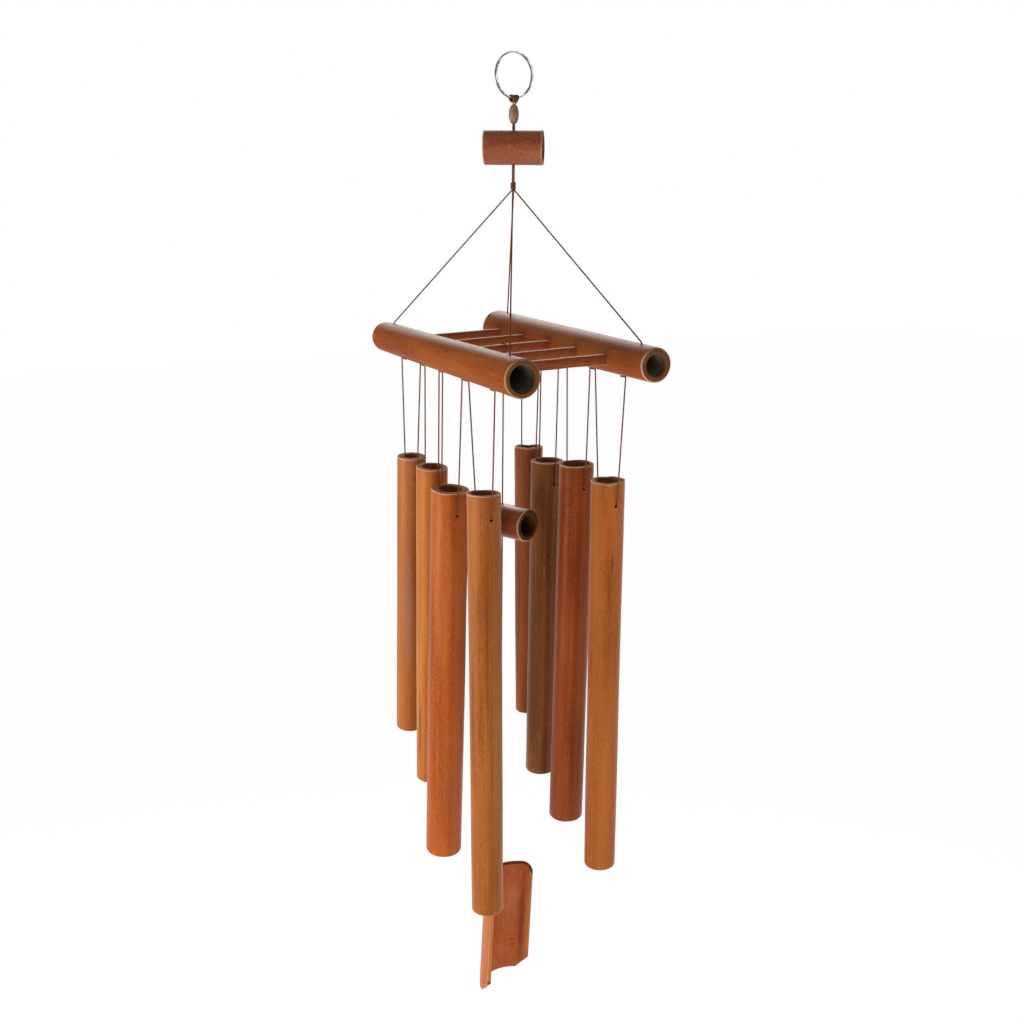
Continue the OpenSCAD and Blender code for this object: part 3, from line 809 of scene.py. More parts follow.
@dataclass
class Culm:
    """A length of bamboo along its own Z axis, open at both ends, in millimetres.

    Attributes:
        name: Name of the piece and of the solid that it replaces.
        body: Body that it rides on.
        slot: Name of a material slot, handed on when the piece is fitted.
        lower_d: Outside diameter at the lower end, z = 0.
        upper_d: Outside diameter at the upper end.
        bore_d: Diameter of the bore.
        length: Length.
        place: From its own frame to the row frame.
        finish: Its bamboo.
        drills: Holes and slots.
        rounding: Rounding of the upper end's outer edge.
        foot: Rounding of the lower end's outer edge.
        plain_foot: True where the lower arris has no pale line of rubbed varnish and painted highlight.
        wave: How far the hand-cut lower and upper ends waver.
        inward: True where the ends keep inside their nominal places.
        swell: How far the skin swells and dips.
        seed: Changes the wavering.
        SIDES: Sides of the turned shape.
        RING_PITCH: Distance between the rings of its mesh.
        BORE_ARRIS: Rounding of the bore's edges.
        OVAL: How far the skin is out of round.
        CUT_REACH: How far from an end its wavering reaches.
        ARRIS_SHARE: How deep the middle of a rounded arris lies, as a share of its rounding.
    """

    name: str
    body: str
    slot: str
    lower_d: float
    upper_d: float
    bore_d: float
    length: float
    place: Matrix
    finish: BambooFinish
    drills: list[Drill] = field(default_factory=list)
    rounding: float = 0.9
    foot: float = 0.9
    plain_foot: bool = False
    wave: tuple[float, float] = (0.3, 0.3)
    inward: bool = False
    swell: float = 0.2
    seed: float = 0.0

    SIDES: ClassVar[int] = 72
    RING_PITCH: ClassVar[float] = 6.0
    BORE_ARRIS: ClassVar[float] = 0.4
    OVAL: ClassVar[float] = 0.05
    CUT_REACH: ClassVar[float] = 9.0
    ARRIS_SHARE: ClassVar[float] = 0.41

    def _turned(self) -> bmesh.types.BMesh:
        """Spin the wall's outline into a tube and round its ends.

        Returns:
            The tube, with its faces' material numbers.
        """
        bore, length = self.bore_d / 2, self.length
        outline = [(bore, 0), (self.lower_d / 2, 0), (self.upper_d / 2, length), (bore, length)]
        bm = Joinery.spun(outline, self.SIDES)
        for face in bm.faces:
            middle = face.calc_center_median()
            outwards = face.normal.x * middle.x + face.normal.y * middle.y > 0
            face.material_index = Face.CUT if abs(face.normal.z) > 0.7 else Face.SKIN if outwards else Face.BORE
        rims = [e for e in bm.edges if len({f.material_index for f in e.link_faces}) > 1]
        outer = [e for e in rims if any(f.material_index == Face.SKIN for f in e.link_faces)]
        upper = [e for e in outer if e.verts[0].co.z > length / 2]
        lower = [e for e in outer if e not in upper]
        inner = [e for e in rims if e not in outer]
        for edges, offset in ((upper, self.rounding), (lower, self.foot), (inner, self.BORE_ARRIS)):
            bmesh.ops.bevel(bm, geom=edges, offset=offset, segments=4, profile=0.5, affect="EDGES", material=-1)
        tall = [e for e in bm.edges if abs(e.verts[0].co.z - e.verts[1].co.z) > length / 2]
        bmesh.ops.subdivide_edges(bm, edges=tall, cuts=max(8, round(length / self.RING_PITCH)), use_grid_fill=True)
        return bm

    def _weathered(self, bm: bmesh.types.BMesh) -> None:
        """Let the skin swell and dip, and the sawn ends waver, as a grown and hand-cut piece does.

        Args:
            bm: The tube.
        """
        for vertex in bm.verts:
            x, y, z = vertex.co
            turn = math.atan2(y, x)
            out = Vector((math.cos(turn), math.sin(turn), 0))
            dip = noise.noise(Vector((out.x * 0.9, out.y * 0.9, z * 0.016 + self.seed * 7)))
            oval = math.cos(2 * (turn - self.seed))
            vertex.co += out * min(0.0, self.swell * (dip - 0.15) + self.OVAL * (oval - 1))
            for side, end in ((1, self.length), (-1, 0)):
                near = max(0.0, 1 - abs(z - end) / self.CUT_REACH)
                vertex.co.z -= side * near * near * self._cut(turn, side)

    def _cut(self, turn: float, side: int) -> float:
        """Tell how far inside its nominal place an end was cut.

        Args:
            turn: Angle about the axis.
            side: -1 for the lower end and 1 for the upper.

        Returns:
            The depth, which is negative where the end stands out.
        """
        waver = noise.noise(Vector((1.3 * math.cos(turn), 1.3 * math.sin(turn), self.seed * 3 + side)))
        depth = 0.9 * waver + 0.35 * math.cos(turn - self.seed * 2 - side)
        return self.wave[side > 0] * (max(0.0, 0.8 + depth) if self.inward else depth)

    def _depths(self, point: Vector) -> tuple[float, float]:
        """Measure how deep a point lies.

        Args:
            point: A point of the piece, in its own frame.

        Returns:
            Its distance from the nearer end and from the middle of that end's outer arris.
        """
        turn, upper = math.atan2(point.y, point.x), point.z > self.length / 2
        skin = self.lower_d + (self.upper_d - self.lower_d) * point.z / self.length
        below_skin = max(0.0, skin / 2 - math.hypot(point.x, point.y))
        height = self.length - point.z if upper else point.z
        below_end = max(0.0, height - self._cut(turn, 1 if upper else -1))
        if not upper and self.plain_foot:
            return below_end, self.length
        return below_end, math.hypot(below_end, below_skin) - self.ARRIS_SHARE * (self.rounding if upper else self.foot)

    def build(self) -> None:
        """Make, drill, place and dress the piece."""
        bm = self._turned()
        self._weathered(bm)
        made = Joinery.to_object(bm, f"{self.name}_bamboo")
        Joinery.dressed(made, self.finish.faces())
        Joinery.drilled(made, self.drills)
        Joinery.marked(made, self._depths)
        Joinery.placed(made, self.place)
        Joinery.fitted(made, self.body, self.slot, [self.name])

    @staticmethod
    def level(middle: Vector, angle: float, length: float) -> Matrix:
        """The place of a piece that lies level, by its middle and its turn about the vertical in degrees."""
        turn = Matrix.Rotation(math.radians(angle), 4, "Z") @ Matrix.Rotation(math.pi / 2, 4, "Y")
        return Matrix.Translation(middle) @ turn @ Matrix.Translation((0, 0, -length / 2))


@dataclass
class Thread:
    """Twisted waxed cord along one or more routes, in millimetres.

    Attributes:
        name: Name of the piece.
        nodes: Solids that it replaces.
        routes: Points of each run of cord.
        diameter: Thickness of the cord.
        lay: Length of one turn of its strands.
        step: Distance between the rings of its mesh.
        strands: Number of strands.
        lobe: How far the strands stand out, as a share of the thickness.
        smooth_angle: Greatest angle that is shaded smooth, in degrees.
    """

    name: str
    nodes: list[str]
    routes: list[list[Vector]]
    diameter: float = CORD_D
    lay: float = 4.2
    step: float = 0.3
    strands: int = 3
    lobe: float = 0.08
    smooth_angle: float = 70.0

    @staticmethod
    def softened(points: Sequence[Vector], radius: float, steps: int = 6) -> list[Vector]:
        """Round the inner corners of a route.

        Args:
            points: The route's points.
            radius: How far before and after a corner the bend reaches.
            steps: Steps in each bend.

        Returns:
            The rounded route.
        """
        done = [points[0]]
        for before, here, after in zip(points, points[1:], points[2:]):
            start = here + (before - here).normalized() * min(radius, (before - here).length / 2.1)
            stop = here + (after - here).normalized() * min(radius, (after - here).length / 2.1)
            for k in range(steps + 1):
                s = k / steps
                done.append(start * (1 - s) ** 2 + here * (2 * s * (1 - s)) + stop * s ** 2)
        return done + [points[-1]]

    def _even(self, route: Sequence[Vector]) -> list[Vector]:
        """Space points a step apart.

        Args:
            route: Points of one run of cord.

        Returns:
            The even points, from end to end.
        """
        spans = [(b - a).length for a, b in zip(route, route[1:])]
        count = max(2, round(sum(spans) / self.step))
        even, along, index = [], 0.0, 0
        for k in range(count + 1):
            goal = sum(spans) * k / count
            while index < len(spans) - 1 and along + spans[index] < goal:
                along += spans[index]
                index += 1
            share = min(1.0, (goal - along) / max(spans[index], 1e-9))
            even.append(route[index].lerp(route[index + 1], share))
        return even

    def _section(self) -> bpy.types.Object:
        """Draw the cord's section, with a lobe for each strand.

        Returns:
            A closed curve.
        """
        curve = bpy.data.curves.new("cord_section", "CURVE")
        spline = curve.splines.new("POLY")
        count = 4 * self.strands
        spline.points.add(count - 1)
        for k, point in enumerate(spline.points):
            turn = math.tau * k / count
            reach = self.diameter / 2 * MM * (1 - self.lobe + self.lobe * math.cos(self.strands * turn))
            point.co = (reach * math.cos(turn), reach * math.sin(turn), 0, 1)
        spline.use_cyclic_u = True
        return Joinery.linked("cord_section", curve)

    def mesh(self) -> bpy.types.Object:
        """Sweep the twisting section along the routes.

        Returns:
            The piece as a mesh, not yet on a body.
        """
        section = self._section()
        curve = bpy.data.curves.new(self.name, "CURVE")
        curve.dimensions = "3D"
        curve.bevel_mode = "OBJECT"
        curve.bevel_object = section
        curve.use_fill_caps = True
        for route in self.routes:
            points = self._even(route)
            turns = self.step * len(points) / self.lay
            spline = curve.splines.new("POLY")
            spline.points.add(len(points) - 1)
            for k, (point, place) in enumerate(zip(spline.points, points)):
                point.co = (*(place * MM), 1)
                point.tilt = math.tau * turns * k / len(points)
        swept = Joinery.swept(curve)
        outline = section.data
        bpy.data.objects.remove(section)
        bpy.data.curves.remove(outline)
        bm = bmesh.new()
        bm.from_mesh(swept)
        bpy.data.meshes.remove(swept)
        bmesh.ops.remove_doubles(bm, verts=bm.verts, dist=1e-7)
        bmesh.ops.recalc_face_normals(bm, faces=bm.faces)
        made = Joinery.to_object(bm, self.name)
        made.data.shade_smooth()
        made.data.set_sharp_from_angle(angle=math.radians(self.smooth_angle))
        return made

    def ridden(self, material: bpy.types.Material, body: str) -> None:
        """Make the cord and hang it on one body.

        Args:
            material: The cord's finish.
            body: The body.
        """
        made = self.mesh()
        Joinery.dressed(made, [material])
        Joinery.fitted(made, body, "cord", self.nodes)

    def flexed(self, material: bpy.types.Material, bodies: tuple[str, str]) -> None:
        """Make the cord, bake its place into its mesh and name in the log the two bodies that it runs between.

        Args:
            material: The cord's finish.
            bodies: The body at its held end, and the one that swings.
        """
        made = self.mesh()
        Joinery.dressed(made, [material])
        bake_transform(made)
        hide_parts(*self.nodes)
        LOG.info("%s flexes from %s to %s, %d faces", made.name, *bodies, len(made.data.polygons))


@dataclass(frozen=True)
class Wraps:
    """Turns of cord about a vertical line, as in a knot, in millimetres.

    Attributes:
        radius: Radius of the turns' middle line.
        low: Lowest height over the knot's own level.
        high: Highest height over that level.
        turns: Number of turns.
    """

    radius: float
    low: float
    high: float
    turns: float

    STEPS: ClassVar[int] = 18

    def at(self, x: float, y: float, level: float) -> list[Vector]:
        """Wind the turns.

        Args:
            x: The line's place along the rails.
            y: The line's place across them.
            level: The knot's own level.

        Returns:
            The points, from the lowest up.
        """
        count = max(8, round(self.turns * self.STEPS))
        low, high = level + self.low, level + self.high
        points = []
        for k in range(count + 1):
            s = k / count
            a = math.tau * self.turns * s
            place = (x + self.radius * math.cos(a), y + self.radius * math.sin(a), low + (high - low) * s)
            points.append(Vector(place))
        return points


def plumb(z: float) -> Vector:
    """A point on the striker's plumb line."""
    return Vector((PLUMB_X, PLUMB_Y, z))


# Sub-assemblies


@dataclass
class Hanger:
    """Split ring, doubled cord, bead and toggle, in millimetres and degrees.

    Attributes:
        ring_end: Angle at which the wire ends, from the top.
        ring_step: Angles between which the wire steps from its first turn to its second.
        hitch: Points of half of the hitch: across the wire, along it and above it.
        hitch_neck: Height over the wire at which the doubled cord comes together.
        wrap_half: Half of the width of the wraps round the hitch.
        wrap_squeeze: How far the wraps draw together below the wire, from 0 to 1.
        bead_belly: Power of the bead's curve.
    """

    ring_d: float = 30.0
    wire_d: float = 1.1
    wire_slack: float = 0.05
    turn_gap: float = 0.6
    ring_angle: float = 8.0
    ring_end: int = 675
    ring_step: tuple[int, int] = (315, 360)
    cord_d: float = CORD_D
    cord_slack: float = 0.06
    hitch: tuple[tuple[float, float, float], ...] = (
        (2.3, 1.8, -1.4), (2.25, 2.2, 1.3), (0, 2.3, 1.75), (-2.25, 2.3, 1.3), (-2.35, 2.0, -1.2), (-2.05, 0.9, -2.4))
    hitch_neck: float = -4.0
    hitch_bend: float = 1.3
    wrap_turns: float = 4.0
    wrap_steps: int = 72
    wrap_half: float = 1.7
    wrap_across: float = 2.3
    wrap_below: float = 2.6
    wrap_above: float = 1.5
    wrap_squeeze: float = 0.45
    bead_z: float = -24.8
    bead_d: float = 6.8
    bead_end_d: float = 3.8
    bead_length: float = 11.6
    bead_hole_d: float = 2.92
    bead_belly: float = 2.3
    bead_arris: float = 0.3
    toggle_z: float = -46.0
    toggle_d: float = 23.0
    toggle_bore_d: float = 16.6
    toggle_length: float = 40.0
    toggle_angle: float = 58.0
    toggle_arris: float = 1.1
    toggle_hole_d: float = 2.92
    toggle_knot: Wraps = Wraps(2.0, 3.5, 6.8, 2.6)
    gathering: Wraps = Wraps(1.35, 0.6, 4.8, 4.4)
    # The toggle's broad pale mark on its lower front side is painted light: that side is lightened as if lit from below
    toggle_finish: BambooFinish = BambooFinish(
        "toggle", "#86442a", "#542615", "#a25e3f", sawn="#7d4c31", bore="#827968", pith="#a59c8a", streak=0.2,
        dust=0.75, wear_and_highlight=0.6, seed=31, marks=(Mark(318, 11.4, 20, 7.5, 70, "#c4866a", 0.2),))

    def build(self, cord: bpy.types.Material) -> None:
        """Make everything above the frame.

        Args:
            cord: The cord's finish.
        """
        self._ring()
        self._hitch(cord)
        self._bead()
        self._toggle(cord)
        self._gathering_knot(cord)

    def _ring(self) -> None:
        """Wind the split ring's two turns, with the step between them at the top."""
        radius = (self.ring_d - self.wire_d) / 2
        pitch = self.wire_d + self.turn_gap
        curve = bpy.data.curves.new("split_ring", "CURVE")
        curve.dimensions = "3D"
        curve.bevel_depth = (self.wire_d / 2 - self.wire_slack) * MM
        curve.bevel_resolution = 4
        curve.use_fill_caps = True
        spline = curve.splines.new("POLY")
        turned = Matrix.Rotation(math.radians(self.ring_angle), 3, "Z")
        angles = range(0, self.ring_end + 1, 5)
        spline.points.add(len(angles) - 1)
        start, stop = self.ring_step
        for point, angle in zip(spline.points, angles):
            shift = min(0.5, max(-0.5, (angle - stop) / (stop - start) + 0.5))
            a = math.radians(angle)
            place = turned @ Vector((shift * pitch, radius * math.sin(a), radius * math.cos(a)))
            point.co = (*(place * MM), 1)
        mesh = Joinery.swept(curve)
        made = Joinery.linked("split_ring", mesh)
        across = [(turned.transposed() @ vertex.co).x for vertex in mesh.vertices]
        mesh.attributes.new("across", "FLOAT", "POINT").data.foreach_set("value", across)
        mesh.shade_smooth()
        mesh.set_sharp_from_angle(angle=math.radians(50))
        Joinery.dressed(made, [SteelFinish().material()])
        Joinery.fitted(made, "ring", "ring_steel", ["hanging_ring"])

    def _hitch(self, cord: bpy.types.Material) -> None:
        """Hitch the doubled cord over the ring and lead it down to the gathering knot.

        Args:
            cord: The cord's finish.
        """
        wire_z = -(self.ring_d - self.wire_d) / 2
        side = self.cord_d / 2 + self.cord_slack
        half = [(0, side, GATHER_TOP - 0.5 - wire_z), (0, side, self.hitch_neck), *self.hitch]
        turned = Matrix.Rotation(math.radians(self.ring_angle), 3, "Z")
        route = [turned @ Vector((u, v, z + wire_z)) for u, v, z in half]
        route += [turned @ Vector((u, -v, z + wire_z)) for u, v, z in reversed(half)]
        radius, wrap = -wire_z, []
        for k in range(self.wrap_steps + 1):
            a = math.tau * self.wrap_turns * k / self.wrap_steps
            v = 2 * self.wrap_half * k / self.wrap_steps - self.wrap_half
            rise = radius - math.sqrt(radius ** 2 - v ** 2)
            below = max(0.0, math.sin(a))
            reach = self.wrap_below * below if math.sin(a) > 0 else self.wrap_above * math.sin(a)
            place = (self.wrap_across * math.cos(a), v * (1 - self.wrap_squeeze * below), wire_z + rise - reach)
            wrap.append(turned @ Vector(place))
        runs = [Thread.softened(route, self.hitch_bend), wrap]
        Thread("hanger_cord_thread", ["hanger_cord"], runs).ridden(cord, "hanger")

    def _bead(self) -> None:
        """Turn the olive-shaped bead with its hole."""
        steps, half, hole = 14, self.bead_length / 2, self.bead_hole_d / 2
        outline = [(hole, -half)]
        for k in range(steps + 1):
            s = 2 * k / steps - 1
            r = (self.bead_end_d + (self.bead_d - self.bead_end_d) * (1 - abs(s) ** self.bead_belly)) / 2
            outline.append((r, s * half))
        outline.append((hole, half))
        bm = Joinery.spun(outline, 48)
        corners = [e for e in bm.edges if e.calc_face_angle(0.0) > 0.9]
        bmesh.ops.bevel(bm, geom=corners, offset=self.bead_arris, segments=3, profile=0.5, affect="EDGES", material=-1)
        made = Joinery.to_object(bm, "olive_bead")
        Joinery.marked(made)
        Joinery.placed(made, Matrix.Translation((0, 0, self.bead_z)))
        Joinery.dressed(made, [BeadFinish().material()])
        Joinery.fitted(made, "bead", "bead_wood", ["bead"])

    def _toggle(self, cord: bpy.types.Material) -> None:
        """Make the crosswise tube, and the knot inside that carries it.

        Args:
            cord: The cord's finish.
        """
        place = Culm.level(Vector((0, 0, self.toggle_z)), self.toggle_angle, self.toggle_length)
        reach = self.toggle_d / 2 + 1
        hole = Drill.along_x(-reach, reach, self.toggle_length / 2, self.toggle_hole_d)
        Culm("toggle_tube", "toggle", "toggle_bamboo", self.toggle_d, self.toggle_d, self.toggle_bore_d,
             self.toggle_length, place, self.toggle_finish, [hole], rounding=self.toggle_arris, foot=self.toggle_arris,
             seed=4.2).build()
        wraps = self.toggle_knot.at(0, 0, self.toggle_z)
        Thread("toggle_knot_thread", ["toggle_knot"], [wraps]).ridden(cord, "hanger")

    def _gathering_knot(self, cord: bpy.types.Material) -> None:
        """Wrap the knot where the doubled cord parts into four.

        Args:
            cord: The cord's finish.
        """
        wraps = self.gathering.at(0, 0, GATHER_BOTTOM)
        core = [[Vector((x, y, GATHER_BOTTOM - 0.6)), Vector((x, y, GATHER_TOP - 1.4))]
                for y in (PARTING, -PARTING) for x in (PARTING, -PARTING)]
        Thread("gathering_knot_wraps", ["gathering_knot"], [wraps, *core]).ridden(cord, "frame")


@dataclass
class Rail:
    """One rail of the frame with its holes and stitches, in millimetres.

    Attributes:
        row: The row of tubes that hangs on it.
        z: Height of its axis.
        far_d: Outside diameter at the far end.
        near_d: Outside diameter at the near end.
        bore_d: Diameter of the bore.
        finish: Its bamboo.
        spacing: Distance between the rails.
        hang_x: Distance of the hanging holes from its middle.
        drill_start: Distance from its axis at which the holes start, in the bore.
        cord_lift: How far over the hanging hole the taut cord bends.
        stitch_gap: Distance from the rail to the middle of a stitch.
        tail: Length of the stitches' tails.
    """

    row: Row
    z: float
    far_d: float
    near_d: float
    bore_d: float
    finish: BambooFinish
    length: float = 234.0
    spacing: float = 94.0
    hang_x: float = 98.5
    hang_d: float = 2.8
    string_d: float = 2.4
    drill_start: float = 3.0
    arris: float = 1.4
    cord_lift: float = 0.85
    stitch_gap: float = 0.8
    tail: float = 7.0
    upper_knot: Wraps = Wraps(1.3, -3.6, -0.9, 2.3)
    lower_knot: Wraps = Wraps(1.3, 0.1, 2.6, 2.3)
    seed: float = 1.0

    @property
    def y(self) -> float:
        """The rail's place across the frame."""
        return PLUMB_Y + self.row.sign * self.spacing / 2

    def radius(self, x: float) -> float:
        """The rail's outer radius at a place along it."""
        return (self.far_d + (self.near_d - self.far_d) * (x / self.length + 0.5)) / 2

    def build(self, strings: Sequence[float], mortises: Sequence[Matrix], cord: bpy.types.Material) -> None:
        """Make the rail, its two hanging cords and its stitches.

        Args:
            strings: Places of the string holes, from the far end.
            mortises: Boxes of the slats' mortises, in the row frame in millimetres.
            cord: The cord's finish.
        """
        place = Matrix.Translation((-self.length / 2, self.y, self.z)) @ Matrix.Rotation(math.pi / 2, 4, "Y")
        reach = max(self.far_d, self.near_d) / 2 + 2
        start, far = self.drill_start, self.length / 2
        drills = [Drill.along_x(-reach, -start, end * self.hang_x + far, self.hang_d) for end in End]
        drills += [Drill.along_x(start, reach, x + far, self.string_d) for x in strings]
        drills += [Drill(place.inverted() @ box, True) for box in mortises]
        name = f"{self.row.value}_rail"
        Culm(name, "frame", "rail_bamboo", self.far_d, self.near_d, self.bore_d, self.length, place, self.finish,
             drills, rounding=self.arris, foot=self.arris, inward=True, seed=self.seed).build()
        for end in End:
            self._hanging_cord(end, cord)
        self._stitches(strings, cord)

    def _hanging_cord(self, end: End, cord: bpy.types.Material) -> None:
        """Lead one taut cord from the gathering knot through the rail's top to its knot in the bore.

        Args:
            end: The rail's end that it holds.
            cord: The cord's finish.
        """
        x, inner = end * self.hang_x, self.z + self.bore_d / 2
        start = Vector((end * PARTING, self.row.sign * PARTING, GATHER_BOTTOM - 0.1))
        mouth = Vector((x, self.y, self.z + self.radius(x) + self.cord_lift))
        route = Thread.softened([start, mouth, Vector((x, self.y, inner - 1.2))], 1.2)
        knot = self.upper_knot.at(x, self.y, inner)
        name = f"{self.row.value}_{end.name.lower()}_cord"
        Thread(f"{name}_thread", [name], [route, knot]).ridden(cord, "frame")

    def _under(self, first: float, second: float) -> float:
        """Height of a stitch under the rail between two places along it."""
        return self.z - max(self.radius(first), self.radius(second)) - self.stitch_gap

    def _stitches(self, strings: Sequence[float], cord: bpy.types.Material) -> None:
        """Stitch the cord under the rail between neighbouring tubes, with a knotted end and a tail at both ends.

        Args:
            strings: Places of the string holes, from the far end.
            cord: The cord's finish.
        """
        inner = self.z - self.bore_d / 2 + self.stitch_gap
        runs = []
        for start, stop in zip(strings[1:-1:2], strings[2:-1:2]):
            under = self._under(start, stop)
            corners = ((start, inner), (start, under), (stop, under), (stop, inner), (start, inner))
            runs.append(Thread.softened([Vector((x, self.y, z)) for x, z in corners], 0.7))
        for x, inward in ((strings[0], 1), (strings[-1], -1)):
            tail = x + inward * self.tail
            under = self._under(x, tail)
            leg = [Vector((x, self.y, inner + 1.5)), Vector((x, self.y, under)),
                   Vector((tail, self.y + 0.4, under - 0.35))]
            runs.append(Thread.softened(leg, 0.9))
            runs.append(self.lower_knot.at(x, self.y, inner))
        name = f"{self.row.value}_rail_stitches"
        Thread(f"{name}_thread", [name], runs).ridden(cord, "frame")


@dataclass
class Tube:
    """One chime tube and the cord that it hangs on, in millimetres and degrees.

    Attributes:
        row: The row that it hangs in.
        number: Its number from the far end.
        x: Place of its upper end along the rails.
        drop: Drop of its upper end below the rail's axis.
        length: Length.
        top_d: Outside diameter at the top.
        bottom_d: Outside diameter at the bottom.
        lean: Lean along the rails.
        shift: Distance of the middle of its two string holes from x.
        flare: How far outside the tube its strings leave the rail.
        finish: Its bamboo.
        wall: Thickness of its wall.
        wave: How far its sawn top wavers.
        pivot_drop: Drop of the swing's axis below the rail.
        flex: Heights over that axis of two points between the strings, which are worked out but not used.
    """

    row: Row
    number: int
    x: float
    drop: float
    length: float
    top_d: float
    bottom_d: float
    lean: float
    shift: float
    flare: float
    finish: BambooFinish
    wall: float = 2.8
    wave: float = 0.6
    hole_d: float = 2.6
    hole_drop: float = 16.0
    top_arris: float = 0.8
    foot: float = 2.0
    foot_wave: float = 0.3
    cord_d: float = CORD_D
    cord_gap: float = 0.3
    seat_gap: float = 0.1
    pivot_drop: float = 1.95
    flex: tuple[float, float] = (1.2, -2.4)

    @property
    def name(self) -> str:
        """Name of the tube's solid."""
        return f"{self.row.value}_tube_{self.number}"

    @property
    def strings(self) -> tuple[float, float]:
        """Places of the far and the near string hole along the rail."""
        spread = self.top_d / 2 + self.flare
        return self.x + self.shift - spread, self.x + self.shift + spread

    def build(self, rail: Rail, cord: bpy.types.Material) -> None:
        """Make the tube and its cord.

        Args:
            rail: The rail that it hangs from.
            cord: The cord's finish.
        """
        top = Vector((self.x, rail.y, rail.z - self.drop))
        hung = Matrix.Translation(top) @ Matrix.Rotation(math.radians(-self.lean), 4, "Y")
        place = hung @ Matrix.Translation((0, 0, -self.length))
        bore = min(self.top_d, self.bottom_d) - 2 * self.wall
        reach = self.top_d / 2 + 2
        body = f"{self.name}_body"
        Culm(self.name, body, f"{self.name}_bamboo", self.bottom_d, self.top_d, bore, self.length, place, self.finish,
             [Drill.along_x(-reach, reach, self.length - self.hole_drop, self.hole_d)], rounding=self.top_arris,
             foot=self.foot, plain_foot=True, wave=(self.foot_wave, self.wave), swell=0.25,
             seed=self.finish.seed * 0.37).build()
        at_hole = self.top_d + (self.bottom_d - self.top_d) * self.hole_drop / self.length
        side = at_hole / 2 + self.cord_gap + self.cord_d / 2
        level = self.hole_d / 2 - self.cord_d / 2 - self.seat_gap - self.hole_drop
        far, near = self.strings
        pivot = rail.z - max(rail.radius(far), rail.radius(near)) - self.pivot_drop
        entry = rail.z - rail.bore_d / 2 - 0.6
        route = [Vector((far, rail.y, entry)), Vector((far, rail.y, pivot)), hung @ Vector((-side, 0, level)),
                 hung @ Vector((side, 0, level)), Vector((near, rail.y, pivot)), Vector((near, rail.y, entry))]
        start, stop = (Vector(((far + near) / 2, rail.y, pivot + rise)) for rise in self.flex)
        Thread(f"{self.name}_cord_thread", [f"{self.name}_cord"], [Thread.softened(route, 0.9)]).flexed(
            cord, ("frame", body))


